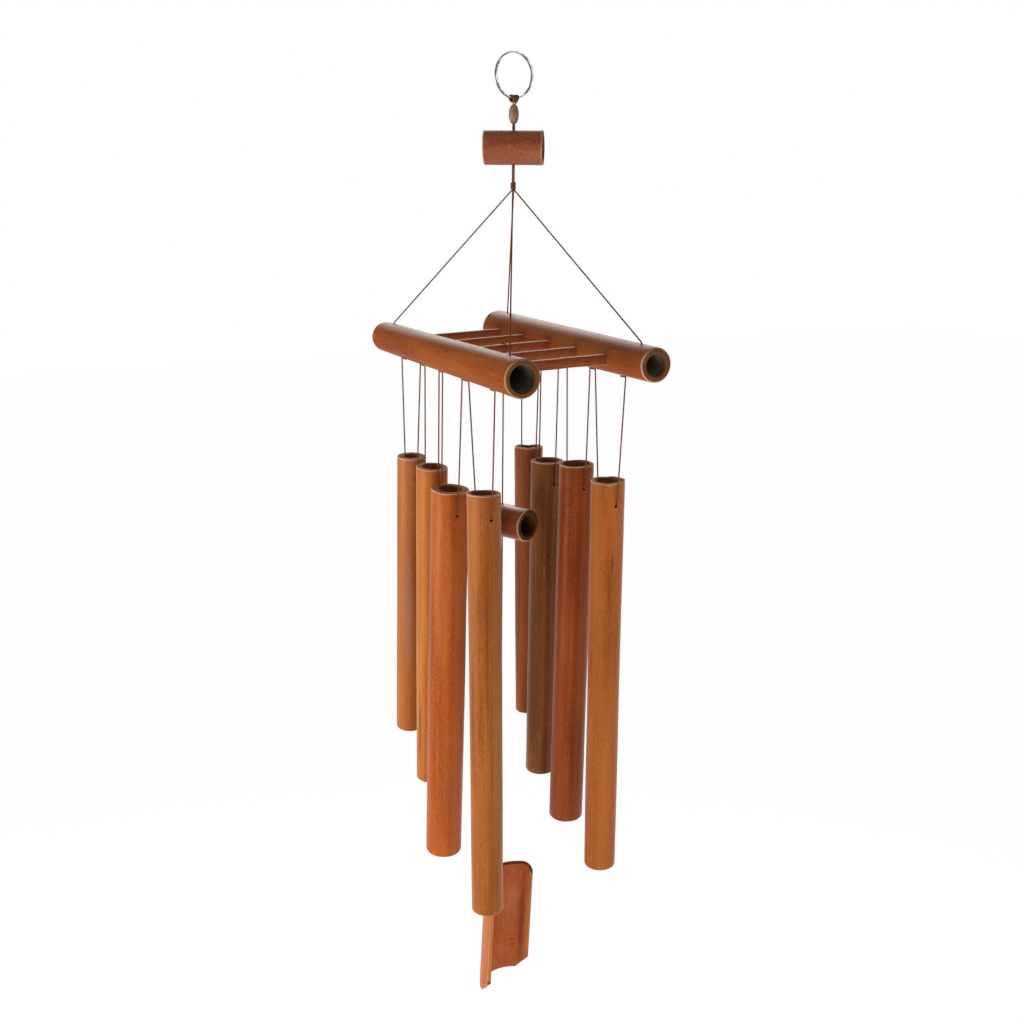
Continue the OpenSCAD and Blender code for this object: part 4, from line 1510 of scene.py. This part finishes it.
@dataclass
class Frame:
    """Two rails, five slats and the eight tubes under them, in millimetres and degrees.

    Attributes:
        reach: Distance between the rails' axes along the tilted slats.
        tilt: Tilt of the slats, because the rails differ in height.
        slat_seat: How far a slat's end stands in a rail's bore.
        slat_held: Length at each end of a slat that stays straight.
        slat_bow: How far a slat wavers sideways and up and down.
    """

    reach: float = 94.054452
    tilt: float = SLAT_TILT
    middle_z: float = -181.0
    slat_count: int = 5
    slat_first: float = -87.0
    slat_pitch: float = 39.6
    slat_height: float = 6.8
    slat_thickness: float = 3.2
    slat_top: float = 2.7
    slat_seat: float = 0.8
    slat_fit: float = 0.1
    slat_arris: float = 0.35
    slat_held: float = 6.0
    slat_bow: tuple[float, float] = (0.25, 0.22)
    # The long pale mark along the left rail's top is partly settled dust and partly a painted highlight of the top's
    # sheen
    left: Rail = field(default_factory=lambda: Rail(
        Row.LEFT, -182.6, 22.2, 24.6, 17.8,
        BambooFinish("left_rail", "#8d430f", "#5f2a0a", "#a85c22", sawn="#85522f", bore="#7a7163", pith="#9c9382",
                     streak=0.45, dust=0.35, rough=0.45, gloss=0.03, wear_and_highlight=0.4, seed=11,
                     marks=(Mark(188, 11.4, 20, 8.5, 280, "#d0b5a0", 0.75),)), seed=1.7))
    # The long pale mark along the right rail's top is partly settled dust and partly a painted highlight of the top's
    # sheen
    right: Rail = field(default_factory=lambda: Rail(
        Row.RIGHT, -179.4, 26.4, 22.6, 15.0,
        BambooFinish("right_rail", "#944a1f", "#65300f", "#aa6431", sawn="#804f30", bore="#827968", pith="#a59c8a",
                     streak=0.45, dust=0.35, rough=0.45, gloss=0.03, wear_and_highlight=0.55, seed=12,
                     marks=(Mark(190, 12.4, 20, 9.5, 280, "#d0b5a0", 0.75),
                            Mark(221, 13.0, 4, 2.4, 3.6, "#3f2c20", 0.9))), seed=2.9))
    # The slats' near-white split colour, on their top and bottom faces, is partly bare split fibres and partly a
    # painted highlight
    slat_finish: BambooFinish = BambooFinish(
        "slat", "#94492a", "#5a2612", "#a8633f", split="#fbe6cf", streak=0.5, dust=0.15, seed=15)

    def tubes(self) -> list[Tube]:
        """List the tubes with their sizes and finishes.

        Returns:
            The eight tubes, from the far end to the near end of each row.
        """
        left, right = Row.LEFT, Row.RIGHT
        pale, grey = "#e0c3a0", "#93806f"
        return [
            Tube(left, 1, -66.5, 83, 222, 21.4, 20.6, -2.8, 1.5, 7.3, BambooFinish(
                "left_tube_1", "#a85f2d", "#7b3e18", "#ba7642", streak=0.4, dust=0.4, seed=41,
                marks=(Mark(-35, 10.5, 110, 5, 70, grey, 0.35),)), 4.6, 0.4),
            Tube(left, 2, -27, 83, 246, 23, 22.2, -1.5, 1.5, 1.3, BambooFinish(
                "left_tube_2", "#b86b2e", "#894918", "#c9823f", streak=0.4, dust=0.25, seed=42,
                marks=(Mark(-72, 11.2, 45, 2.2, 38, "#6e3b16", 0.6),)), 3.8, 0.7),
            Tube(left, 3, 5.7, 92, 286, 27, 27, -3, 4.3, 3, BambooFinish(
                "left_tube_3", "#ac5321", "#7a3410", "#c36d36", streak=0.4, dust=0.35, seed=43), 5.0, 0.5),
            Tube(left, 4, 61.5, 82.5, 302, 22.8, 22.4, 1.6, -4, 8.6, BambooFinish(
                "left_tube_4", "#a25a26", "#6d3815", "#b8733d", streak=0.5, dust=0.45, seed=44,
                marks=(Mark(-18, 11.3, 190, 1.1, 90, "#6a3714", 0.5), Mark(-6, 11.3, 120, 0.7, 60, "#6a3714", 0.4)))),
            Tube(right, 1, -59.7, 85.5, 217, 22, 19.4, 1, 1.2, 3.5, BambooFinish(
                "right_tube_1", "#944e2e", "#643018", "#ab6640", streak=0.4, dust=0.2, seed=45), 3.0, 1.0),
            Tube(right, 2, -28.5, 90, 254, 24.4, 23.4, -0.8, 1.5, 1.3, BambooFinish(
                "right_tube_2", "#78462a", "#4d2a13", "#8f5c34", streak=0.5, dust=0.6, seed=46,
                marks=(Mark(-40, 11.8, 34, 0.3, 5, pale, 0.8), Mark(-33, 11.8, 31, 0.3, 4, pale, 0.7),
                       Mark(-8, 11.8, 30, 0.3, 4, pale, 0.7), Mark(-30, 12, 170, 0.3, 6, pale, 0.5)))),
            Tube(right, 3, 16.5, 83.5, 280, 25.2, 25.6, -1, -0.5, 3.9, BambooFinish(
                "right_tube_3", "#873f1c", "#59250c", "#9e542e", streak=0.4, dust=0.2, seed=47)),
            Tube(right, 4, 61, 86, 292, 23.6, 22.8, 0.7, -1, 8.2, BambooFinish(
                "right_tube_4", "#b15f2a", "#813f17", "#c4743a", streak=0.4, dust=0.2, seed=48,
                marks=(Mark(-9, 11.6, 235, 0.8, 11, "#5f2c10", 0.8), Mark(-49, 11.6, 231, 0.7, 0.7, "#4d250f", 0.9),
                       Mark(-18, 11.6, 60, 0.3, 0.3, pale, 0.8))), 3.3, 1.0),
        ]

    def _slat_box(self, number: int, grow: float) -> Matrix:
        """Place a slat or its mortise.

        Args:
            number: The slat, from 0 at the far end.
            grow: Clearance on every side, for a mortise.

        Returns:
            A scaled unit box in the row frame.
        """
        left = -self.reach / 2 + self.left.bore_d / 2 - self.slat_seat
        right = self.reach / 2 - self.right.bore_d / 2 + self.slat_seat
        hung = Matrix.Translation((self.slat_first + number * self.slat_pitch, PLUMB_Y, self.middle_z))
        tilted = hung @ Matrix.Rotation(math.radians(self.tilt), 4, "X")
        middle = Matrix.Translation((0, (left + right) / 2, self.slat_top - self.slat_height / 2))
        size = (self.slat_thickness + 2 * grow, right - left + 2 * grow, self.slat_height + 2 * grow, 1)
        return tilted @ middle @ Matrix.Diagonal(size)

    def _slat(self, number: int, materials: Sequence[bpy.types.Material]) -> None:
        """Split, shave and place one slat.

        Args:
            number: The slat, from 0 at the far end.
            materials: Its materials in the order of Face.
        """
        box = self._slat_box(number, 0.0)
        size = box.to_scale()
        bm = bmesh.new()
        bmesh.ops.create_cube(bm, size=1.0, matrix=Matrix.Diagonal((size.x, size.y, size.z, 1)))
        for face in bm.faces:
            face.material_index = Face.SKIN if abs(face.normal.x) > 0.5 else Face.CUT
        bmesh.ops.bevel(bm, geom=bm.edges[:], offset=self.slat_arris, segments=2, profile=0.5, affect="EDGES",
                        material=-1)
        long_edges = [e for e in bm.edges if abs(e.verts[0].co.y - e.verts[1].co.y) > size.y / 2]
        bmesh.ops.subdivide_edges(bm, edges=long_edges, cuts=24, use_grid_fill=True)
        for vertex in bm.verts:
            free = max(0.0, 1 - (abs(vertex.co.y) / (size.y / 2 - self.slat_held)) ** 6)
            waver = noise.noise(Vector((number * 5.1, vertex.co.y * 0.05, 0)))
            thin = noise.noise(Vector((number * 3.7, vertex.co.y * 0.06, 9)))
            vertex.co.x += self.slat_bow[0] * waver * free
            vertex.co.z += self.slat_bow[1] * thin * free
        made = Joinery.to_object(bm, f"slat_{number + 1}_bamboo")
        made.data.transform(Matrix.Rotation(math.pi / 2, 4, "X"))
        Joinery.marked(made)
        made.data.transform(Matrix.Rotation(-math.pi / 2, 4, "X"))
        place, turn, _ = box.decompose()
        Joinery.placed(made, Matrix.Translation(place) @ turn.to_matrix().to_4x4())
        Joinery.dressed(made, materials)
        Joinery.fitted(made, "frame", "slat_bamboo", [f"slat_{number + 1}"])

    def build(self, cord: bpy.types.Material) -> None:
        """Make the slats, the rails and the tubes.

        Args:
            cord: The cord's finish.
        """
        materials = self.slat_finish.faces()
        for number in range(self.slat_count):
            self._slat(number, materials)
        tubes = self.tubes()
        mortises = [self._slat_box(number, self.slat_fit) for number in range(self.slat_count)]
        for rail in (self.left, self.right):
            hung = [tube for tube in tubes if tube.row is rail.row]
            rail.build([x for tube in hung for x in tube.strings], mortises, cord)
            for tube in hung:
                tube.build(rail, cord)


@dataclass
class StrikerLine:
    """Loop on the middle slat, striker, sail and their cords, in millimetres and degrees.

    Attributes:
        striker_flex: Heights over its pivot between which the striker's cord would flex; not used.
        sail_flex: Heights over its pivot between which the sail's cord would flex; not used.
        sail_round: Radius of the sail's upper corners.
        sail_corner: Leg of its cut lower corners.
        sail_lip: Depth of the slope that thins its upper end from inside.
        sail_hole_side: Angle from the sail's middle to its hole.
        sail_loop_height: Height of its loop above it.
    """

    loop_r: float = 4.61
    knot_height: float = 3.6
    loop_knot: Wraps = Wraps(1.15, 0.4, 3.3, 2.8)
    striker_z: float = -305.4
    striker_d: float = 23.8
    striker_bore_d: float = 16.4
    striker_length: float = 49.0
    striker_angle: float = 23.5
    striker_arris: float = 1.2
    striker_hole_d: float = 2.4
    striker_knot: Wraps = Wraps(1.3, 4.0, 6.8, 2.3)
    striker_flex: tuple[float, float] = (0.8, -2.0)
    sail_knot: Wraps = Wraps(1.25, 0.5, 3.9, 2.7)
    sail_flex: tuple[float, float] = (0.3, -1.6)
    sail_hang_z: float = -575.7
    sail_r: float = 28.7
    sail_wall: float = 3.8
    sail_span: float = 146.0
    sail_height: float = 90.0
    sail_corner: float = 9.0
    sail_round: float = 9.0
    sail_lip: float = 1.9
    sail_arris: float = 0.5
    sail_turn: float = 28.0
    sail_lean: float = 4.0
    sail_hole_d: float = 2.6
    sail_hole_drop: float = 7.0
    sail_hole_side: float = 13.0
    sail_loop_height: float = 9.0
    striker_finish: BambooFinish = BambooFinish(
        "striker", "#8a4525", "#562a14", "#a35c37", sawn="#6b3d26", bore="#2e2a23", pith="#464036", streak=0.4,
        dust=0.2, wear_and_highlight=0.6, seed=51)
    # The sail's two pale skin marks along its split edges are painted highlights of those edges
    sail_finish: BambooFinish = BambooFinish(
        "sail", "#b45a26", "#8a4016", "#c6713a", sawn="#94502c", split="#d98d56", bore="#b0532a", pith="#c87040",
        streak=0.45, dust=0.2, wear_and_highlight=0.3, stain=0.2, seed=52,
        marks=(Mark(107, 28.7, -45, 0.7, 60, "#e3b98c", 0.7), Mark(253, 28.7, -45, 0.7, 60, "#e3b98c", 0.7)),
        inner_marks=(
            Mark(122, 24.9, -48, 3.4, 46, "#7a3312", 0.6), Mark(110, 24.9, -50, 2.4, 60, "#d98a5a", 0.45),
            Mark(138, 24.9, -66, 4.5, 0.5, "#4a1f0c", 0.8), Mark(134, 24.9, -70, 3.5, 0.45, "#4a1f0c", 0.7),
            Mark(144, 24.9, -71, 3.0, 0.45, "#4a1f0c", 0.6), Mark(140, 24.9, -30, 7.0, 16, "#cf9a72", 0.15)))

    def build(self, cord: bpy.types.Material) -> None:
        """Make everything that hangs from the middle slat.

        Args:
            cord: The cord's finish.
        """
        self._loop(cord)
        self._striker(cord)
        self._sail_cord(cord)
        self._sail()
        self._sail_loop(cord)

    @property
    def loop_foot(self) -> float:
        """Height of the lower end of the loop's knot."""
        return SLAT_MIDDLE_Z - self.loop_r - self.knot_height

    @property
    def striker_foot(self) -> float:
        """Height of the striker's lower side."""
        return self.striker_z - self.striker_d / 2

    def _loop(self, cord: bpy.types.Material) -> None:
        """Loop the cord round the middle slat and tie it below.

        Args:
            cord: The cord's finish.
        """
        turned = Matrix.Rotation(math.radians(SLAT_TILT), 3, "X")
        ring, steps = [], 40
        for k in range(steps + 1):
            a = math.tau * k / steps - math.pi / 2
            place = Vector((self.loop_r * math.cos(a), 0, self.loop_r * math.sin(a)))
            ring.append(plumb(SLAT_MIDDLE_Z) + turned @ place)
        wraps = self.loop_knot.at(PLUMB_X, PLUMB_Y, self.loop_foot)
        Thread("striker_loop_thread", ["striker_loop"], [ring, wraps]).ridden(cord, "loop")

    def _striker(self, cord: bpy.types.Material) -> None:
        """Make the crosswise striker and the cord that carries it.

        Args:
            cord: The cord's finish.
        """
        place = Culm.level(plumb(self.striker_z), self.striker_angle, self.striker_length)
        reach = self.striker_d / 2 + 1
        hole = Drill.along_x(-reach, reach, self.striker_length / 2, self.striker_hole_d)
        Culm("striker", "striker_body", "striker_bamboo", self.striker_d, self.striker_d, self.striker_bore_d,
             self.striker_length, place, self.striker_finish, [hole], rounding=self.striker_arris,
             foot=self.striker_arris, seed=5.3).build()
        route = [plumb(self.loop_foot + 1.2), plumb(self.striker_foot - 0.6)]
        wraps = self.striker_knot.at(PLUMB_X, PLUMB_Y, self.striker_z)
        Thread("striker_cord_thread", ["striker_cord"], [route, wraps]).flexed(
            cord, ("loop", "striker_line"))

    def _sail_cord(self, cord: bpy.types.Material) -> None:
        """Lead the cord from the striker down to the knot above the sail.

        Args:
            cord: The cord's finish.
        """
        pivot = self.striker_foot - 0.9
        route = [plumb(pivot + 0.35), plumb(self.sail_hang_z + 0.4)]
        wraps = self.sail_knot.at(PLUMB_X, PLUMB_Y, self.sail_hang_z)
        Thread("sail_cord_thread", ["sail_cord"], [route, wraps]).flexed(
            cord, ("striker_line", "sail_line"))

    def _sail_place(self) -> Matrix:
        """Hang the sail's own frame, with its origin under the cord.

        Returns:
            From that frame to the row frame.
        """
        hung = Matrix.Translation(plumb(self.sail_hang_z))
        turned = Matrix.Rotation(math.radians(self.sail_turn), 4, "Z")
        return hung @ turned @ Matrix.Rotation(math.radians(-self.sail_lean), 4, "X")

    def _sail_out(self) -> Vector:
        """Direction from the middle of the sail's curve to its hole."""
        a = math.radians(180 - self.sail_hole_side)
        return Vector((math.cos(a), math.sin(a), 0))

    def _sail_depths(self, point: Vector) -> tuple[float, float]:
        """Measure how deep a point of the sail lies.

        Args:
            point: The point, in the frame that the sail is made in.

        Returns:
            Its distance from the upper or lower end, round the cut corners, and from the outer arris.
        """
        turn = abs(math.atan2(point.y, point.x) % math.tau - math.pi)
        aside = (self.sail_r - self.sail_wall / 2) * (math.radians(self.sail_span / 2) - turn)
        top, low = -point.z, point.z + self.sail_height
        if max(top, aside) < self.sail_round:
            top = self.sail_round - math.hypot(self.sail_round - top, self.sail_round - aside)
        below_end = min(top, low, max(0.0, aside + low - self.sail_corner) / math.sqrt(2))
        return below_end, math.hypot(max(0.0, below_end), self.sail_r - math.hypot(point.x, point.y)) - 0.2

    def _sail_blank(self) -> bmesh.types.BMesh:
        """Split the sail from a thick bamboo.

        Returns:
            The sail with square corners, about the bamboo's axis and with its upper end at z = 0.
        """
        bm = bmesh.new()
        inner, outer, height = self.sail_r - self.sail_wall, self.sail_r, self.sail_height
        half = math.radians(self.sail_span / 2)
        outline = [(inner, -height), (outer, -height), (outer, 0), (inner, 0)]
        first = math.pi - half
        verts = [bm.verts.new((r * math.cos(first), r * math.sin(first), z)) for r, z in outline]
        start = bm.faces.new(verts)
        bmesh.ops.spin(bm, geom=[start, *start.edges, *start.verts], cent=(0, 0, 0), axis=(0, 0, 1), angle=2 * half,
                       steps=40)
        bmesh.ops.remove_doubles(bm, verts=bm.verts, dist=1e-4)
        bmesh.ops.recalc_face_normals(bm, faces=bm.faces)
        return bm

    def _sail_corners(self, bm: bmesh.types.BMesh) -> None:
        """Round the upper corners and cut the lower ones.

        Args:
            bm: The sail.
        """
        half = math.radians(self.sail_span / 2)
        rounds = [math.radians(11.25 * k) for k in range(1, 8)]
        cuts = [(0, a, self.sail_round * (math.cos(a) + math.sin(a) - 1)) for a in rounds]
        cuts.append((-self.sail_height, -math.pi / 4, self.sail_corner / math.sqrt(2)))
        for side in (-1, 1):
            edge = math.pi + side * half
            along = Vector((-math.sin(edge), math.cos(edge), 0)) * side
            corner = Vector((math.cos(edge), math.sin(edge), 0)) * (self.sail_r - self.sail_wall / 2)
            for z, a, depth in cuts:
                normal = along * math.cos(a) + Vector((0, 0, math.sin(a)))
                point = corner + Vector((0, 0, z)) - normal * depth
                cut = bmesh.ops.bisect_plane(bm, geom=[*bm.verts, *bm.edges, *bm.faces], plane_co=point,
                                             plane_no=normal, clear_outer=True)
                rims = [e for e in cut["geom_cut"] if isinstance(e, bmesh.types.BMEdge)]
                bmesh.ops.edgenet_fill(bm, edges=rims)
        bmesh.ops.recalc_face_normals(bm, faces=bm.faces)

    def _sail_edges(self, bm: bmesh.types.BMesh) -> bmesh.types.BMesh:
        """Number the faces, thin the upper lip from inside and round every arris.

        Args:
            bm: The sail, which is freed.

        Returns:
            The sail with its edges worked.
        """
        for face in bm.faces:
            middle = face.calc_center_median()
            flat = Vector((middle.x, middle.y, 0)).normalized()
            facing = face.normal.dot(flat)
            face.material_index = Face.SKIN if facing > 0.8 else Face.BORE if facing < -0.8 else Face.CUT
        tall = [e for e in bm.edges if abs(e.verts[0].co.z - e.verts[1].co.z) > self.sail_height / 2]
        bmesh.ops.subdivide_edges(bm, edges=tall, cuts=14, use_grid_fill=True)
        lip = [e for e in bm.edges if {f.material_index for f in e.link_faces} == {Face.CUT, Face.BORE}
               and all(v.co.z > -self.sail_height / 2 and self._sail_depths(v.co)[0] < 0.5 for v in e.verts)]
        thinned = bmesh.ops.bevel(bm, geom=lip, offset=self.sail_lip, segments=4, profile=0.5, affect="EDGES",
                                  material=-1)
        for face in thinned["faces"]:
            face.material_index = Face.CUT
        bm = Joinery.in_order(bm)
        rims = [e for e in bm.edges if e.calc_face_angle(0.0) > 0.6]
        bmesh.ops.bevel(bm, geom=rims, offset=self.sail_arris, segments=3, profile=0.5, affect="EDGES", material=-1)
        return bm

    def _sail(self) -> None:
        """Split the sail, cut its corners, drill its hole and place it."""
        bm = self._sail_blank()
        self._sail_corners(bm)
        made = Joinery.to_object(self._sail_edges(bm), "sail_bamboo")
        Joinery.dressed(made, self.sail_finish.faces())
        inner, outer = self.sail_r - self.sail_wall, self.sail_r
        hole = Drill.along_x(inner - 4, outer + 4, -self.sail_hole_drop, self.sail_hole_d)
        turned = Matrix.Rotation(math.radians(180 - self.sail_hole_side), 4, "Z")
        Joinery.drilled(made, [Drill(turned @ hole.place)])
        Joinery.marked(made, self._sail_depths)
        middle = -self._sail_out() * (outer - self.sail_wall / 2) - Vector((0, 0, self.sail_loop_height))
        Joinery.placed(made, self._sail_place() @ Matrix.Translation(middle))
        Joinery.fitted(made, "sail_body", "sail_bamboo", ["sail"])

    def _sail_loop(self, cord: bpy.types.Material) -> None:
        """Loop the cord through the sail's hole, down one side of its wall and up the other.

        Args:
            cord: The cord's finish.
        """
        out = self._sail_out()
        side = self.sail_wall / 2 + 0.85
        low = self.sail_loop_height + self.sail_hole_drop - self.sail_hole_d / 2 + 0.65
        half = [out * 0.6 + Vector((0, 0, 0.6)), out * side - Vector((0, 0, self.sail_loop_height - 1)),
                out * side - Vector((0, 0, low))]
        other = [Vector((-p.x, -p.y, p.z)) for p in reversed(half)]
        place = self._sail_place()
        route = [place @ point for point in half + other]
        Thread("sail_loop_thread", ["sail_loop"], [Thread.softened(route, 0.9)]).ridden(cord, "sail_body")


@dataclass
class Studio:
    """Camera, soft light and a plain pale floor, in metres.

    Attributes:
        eye: Place of the camera.
        right: The camera's direction to the right.
        up: Its direction up.
        ahead: Its direction ahead.
        lens: Its focal length in millimetres.
        aim: What the lamps look at.
        floor_share: How much of the background's white the floor shows.
        fill: Strength of the world as a light.
    """

    eye: Vector = Vector((0.78457, -0.38514, -0.06843))
    right: Vector = Vector((0.4398, 0.8980, 0.0087))
    up: Vector = Vector((-0.2320, 0.1042, 0.9671))
    ahead: Vector = Vector((-0.8676, 0.4274, -0.2542))
    lens: float = 44.13
    aim: Vector = Vector((0, 0, -0.35))
    floor_z: float = -1.9
    floor_size: float = 12.0
    floor_tone: float = 0.92
    floor_glow: float = 1.12
    floor_share: float = 0.85
    fill: float = 0.18

    def build(self) -> None:
        """Set up the studio."""
        scene = bpy.context.scene
        scene.view_settings.view_transform = "Standard"
        self._camera(scene)
        self._floor()
        self._world(scene)
        self._lamp("key", Vector((-0.07, -2.12, -0.6)), 1.2, 37)
        self._lamp("front", Vector((1.4, -0.6, -1.4)), 1.1, 11)
        self._lamp("fill", Vector((1.7, 1.1, -1.0)), 1.1, 9)
        self._lamp("back", Vector((-1.7, 0.84, 0.75)), 1.2, 26)

    def _camera(self, scene: bpy.types.Scene) -> None:
        """Stand the camera where the photograph was taken.

        Args:
            scene: The scene.
        """
        data = bpy.data.cameras.new("camera")
        data.lens = self.lens
        data.sensor_width = 36.0
        data.clip_start = 0.01
        made = Joinery.linked("camera", data)
        turn = Matrix((self.right, self.up, -self.ahead)).transposed()
        made.matrix_world = Matrix.Translation(self.eye) @ turn.to_4x4()
        scene.camera = made

    def _floor(self) -> None:
        """Lay a plain pale floor below the chime."""
        bm = bmesh.new()
        place = Matrix.Translation((0, 0, self.floor_z))
        bmesh.ops.create_grid(bm, x_segments=1, y_segments=1, size=self.floor_size, matrix=place)
        made = Joinery.to_object(bm, "floor")
        g = Surface("floor_white")
        glow = g.node("ShaderNodeEmission", {}, {"Color": (1, 1, 1, 1), "Strength": self.floor_glow})
        share = g.background_rays() * self.floor_share
        faces = {0: share, 1: Shade(g, g.shader.outputs[0]), 2: Shade(g, glow.outputs[0])}
        blend = g.node("ShaderNodeMixShader", {}, faces)
        g.wire(g.output, {"Surface": Shade(g, blend.outputs[0])})
        tone = (self.floor_tone, self.floor_tone, self.floor_tone, 1)
        made.data.materials.append(g.finish({"Base Color": tone, "Roughness": 0.9}))

    def _world(self, scene: bpy.types.Scene) -> None:
        """Surround the chime with a white that the camera and reflections see, and a softer fill light.

        Args:
            scene: The scene.
        """
        world = bpy.data.worlds.new("studio")
        scene.world = world
        world.use_nodes = True
        g = Graph(world.node_tree)
        strength = self.fill + g.background_rays() * (1 - self.fill)
        light = g.node("ShaderNodeBackground", {}, {"Color": (1, 1, 1, 1), "Strength": strength})
        g.node("ShaderNodeOutputWorld", {}, {"Surface": Shade(g, light.outputs[0])})

    def _lamp(self, name: str, place: Vector, size: float, power: float) -> None:
        """Hang one square soft lamp that looks at the chime's middle.

        Args:
            name: Its name.
            place: Where it hangs.
            size: Its side.
            power: Its power in watts.
        """
        data = bpy.data.lights.new(name, "AREA")
        data.size = size
        data.energy = power
        made = Joinery.linked(name, data)
        turn = (self.aim - place).to_track_quat("-Z", "Y").to_matrix()
        made.matrix_world = Matrix.Translation(place) @ turn.to_4x4()
        made.visible_camera = False


def main() -> None:
    """Build the studio and the chime from the ring down."""
    logging.basicConfig(level=logging.INFO, format="%(message)s")
    Studio().build()
    cord = CordFinish().material()
    Hanger().build(cord)
    Frame().build(cord)
    StrikerLine().build(cord)


if __name__ == "__main__":
    main()
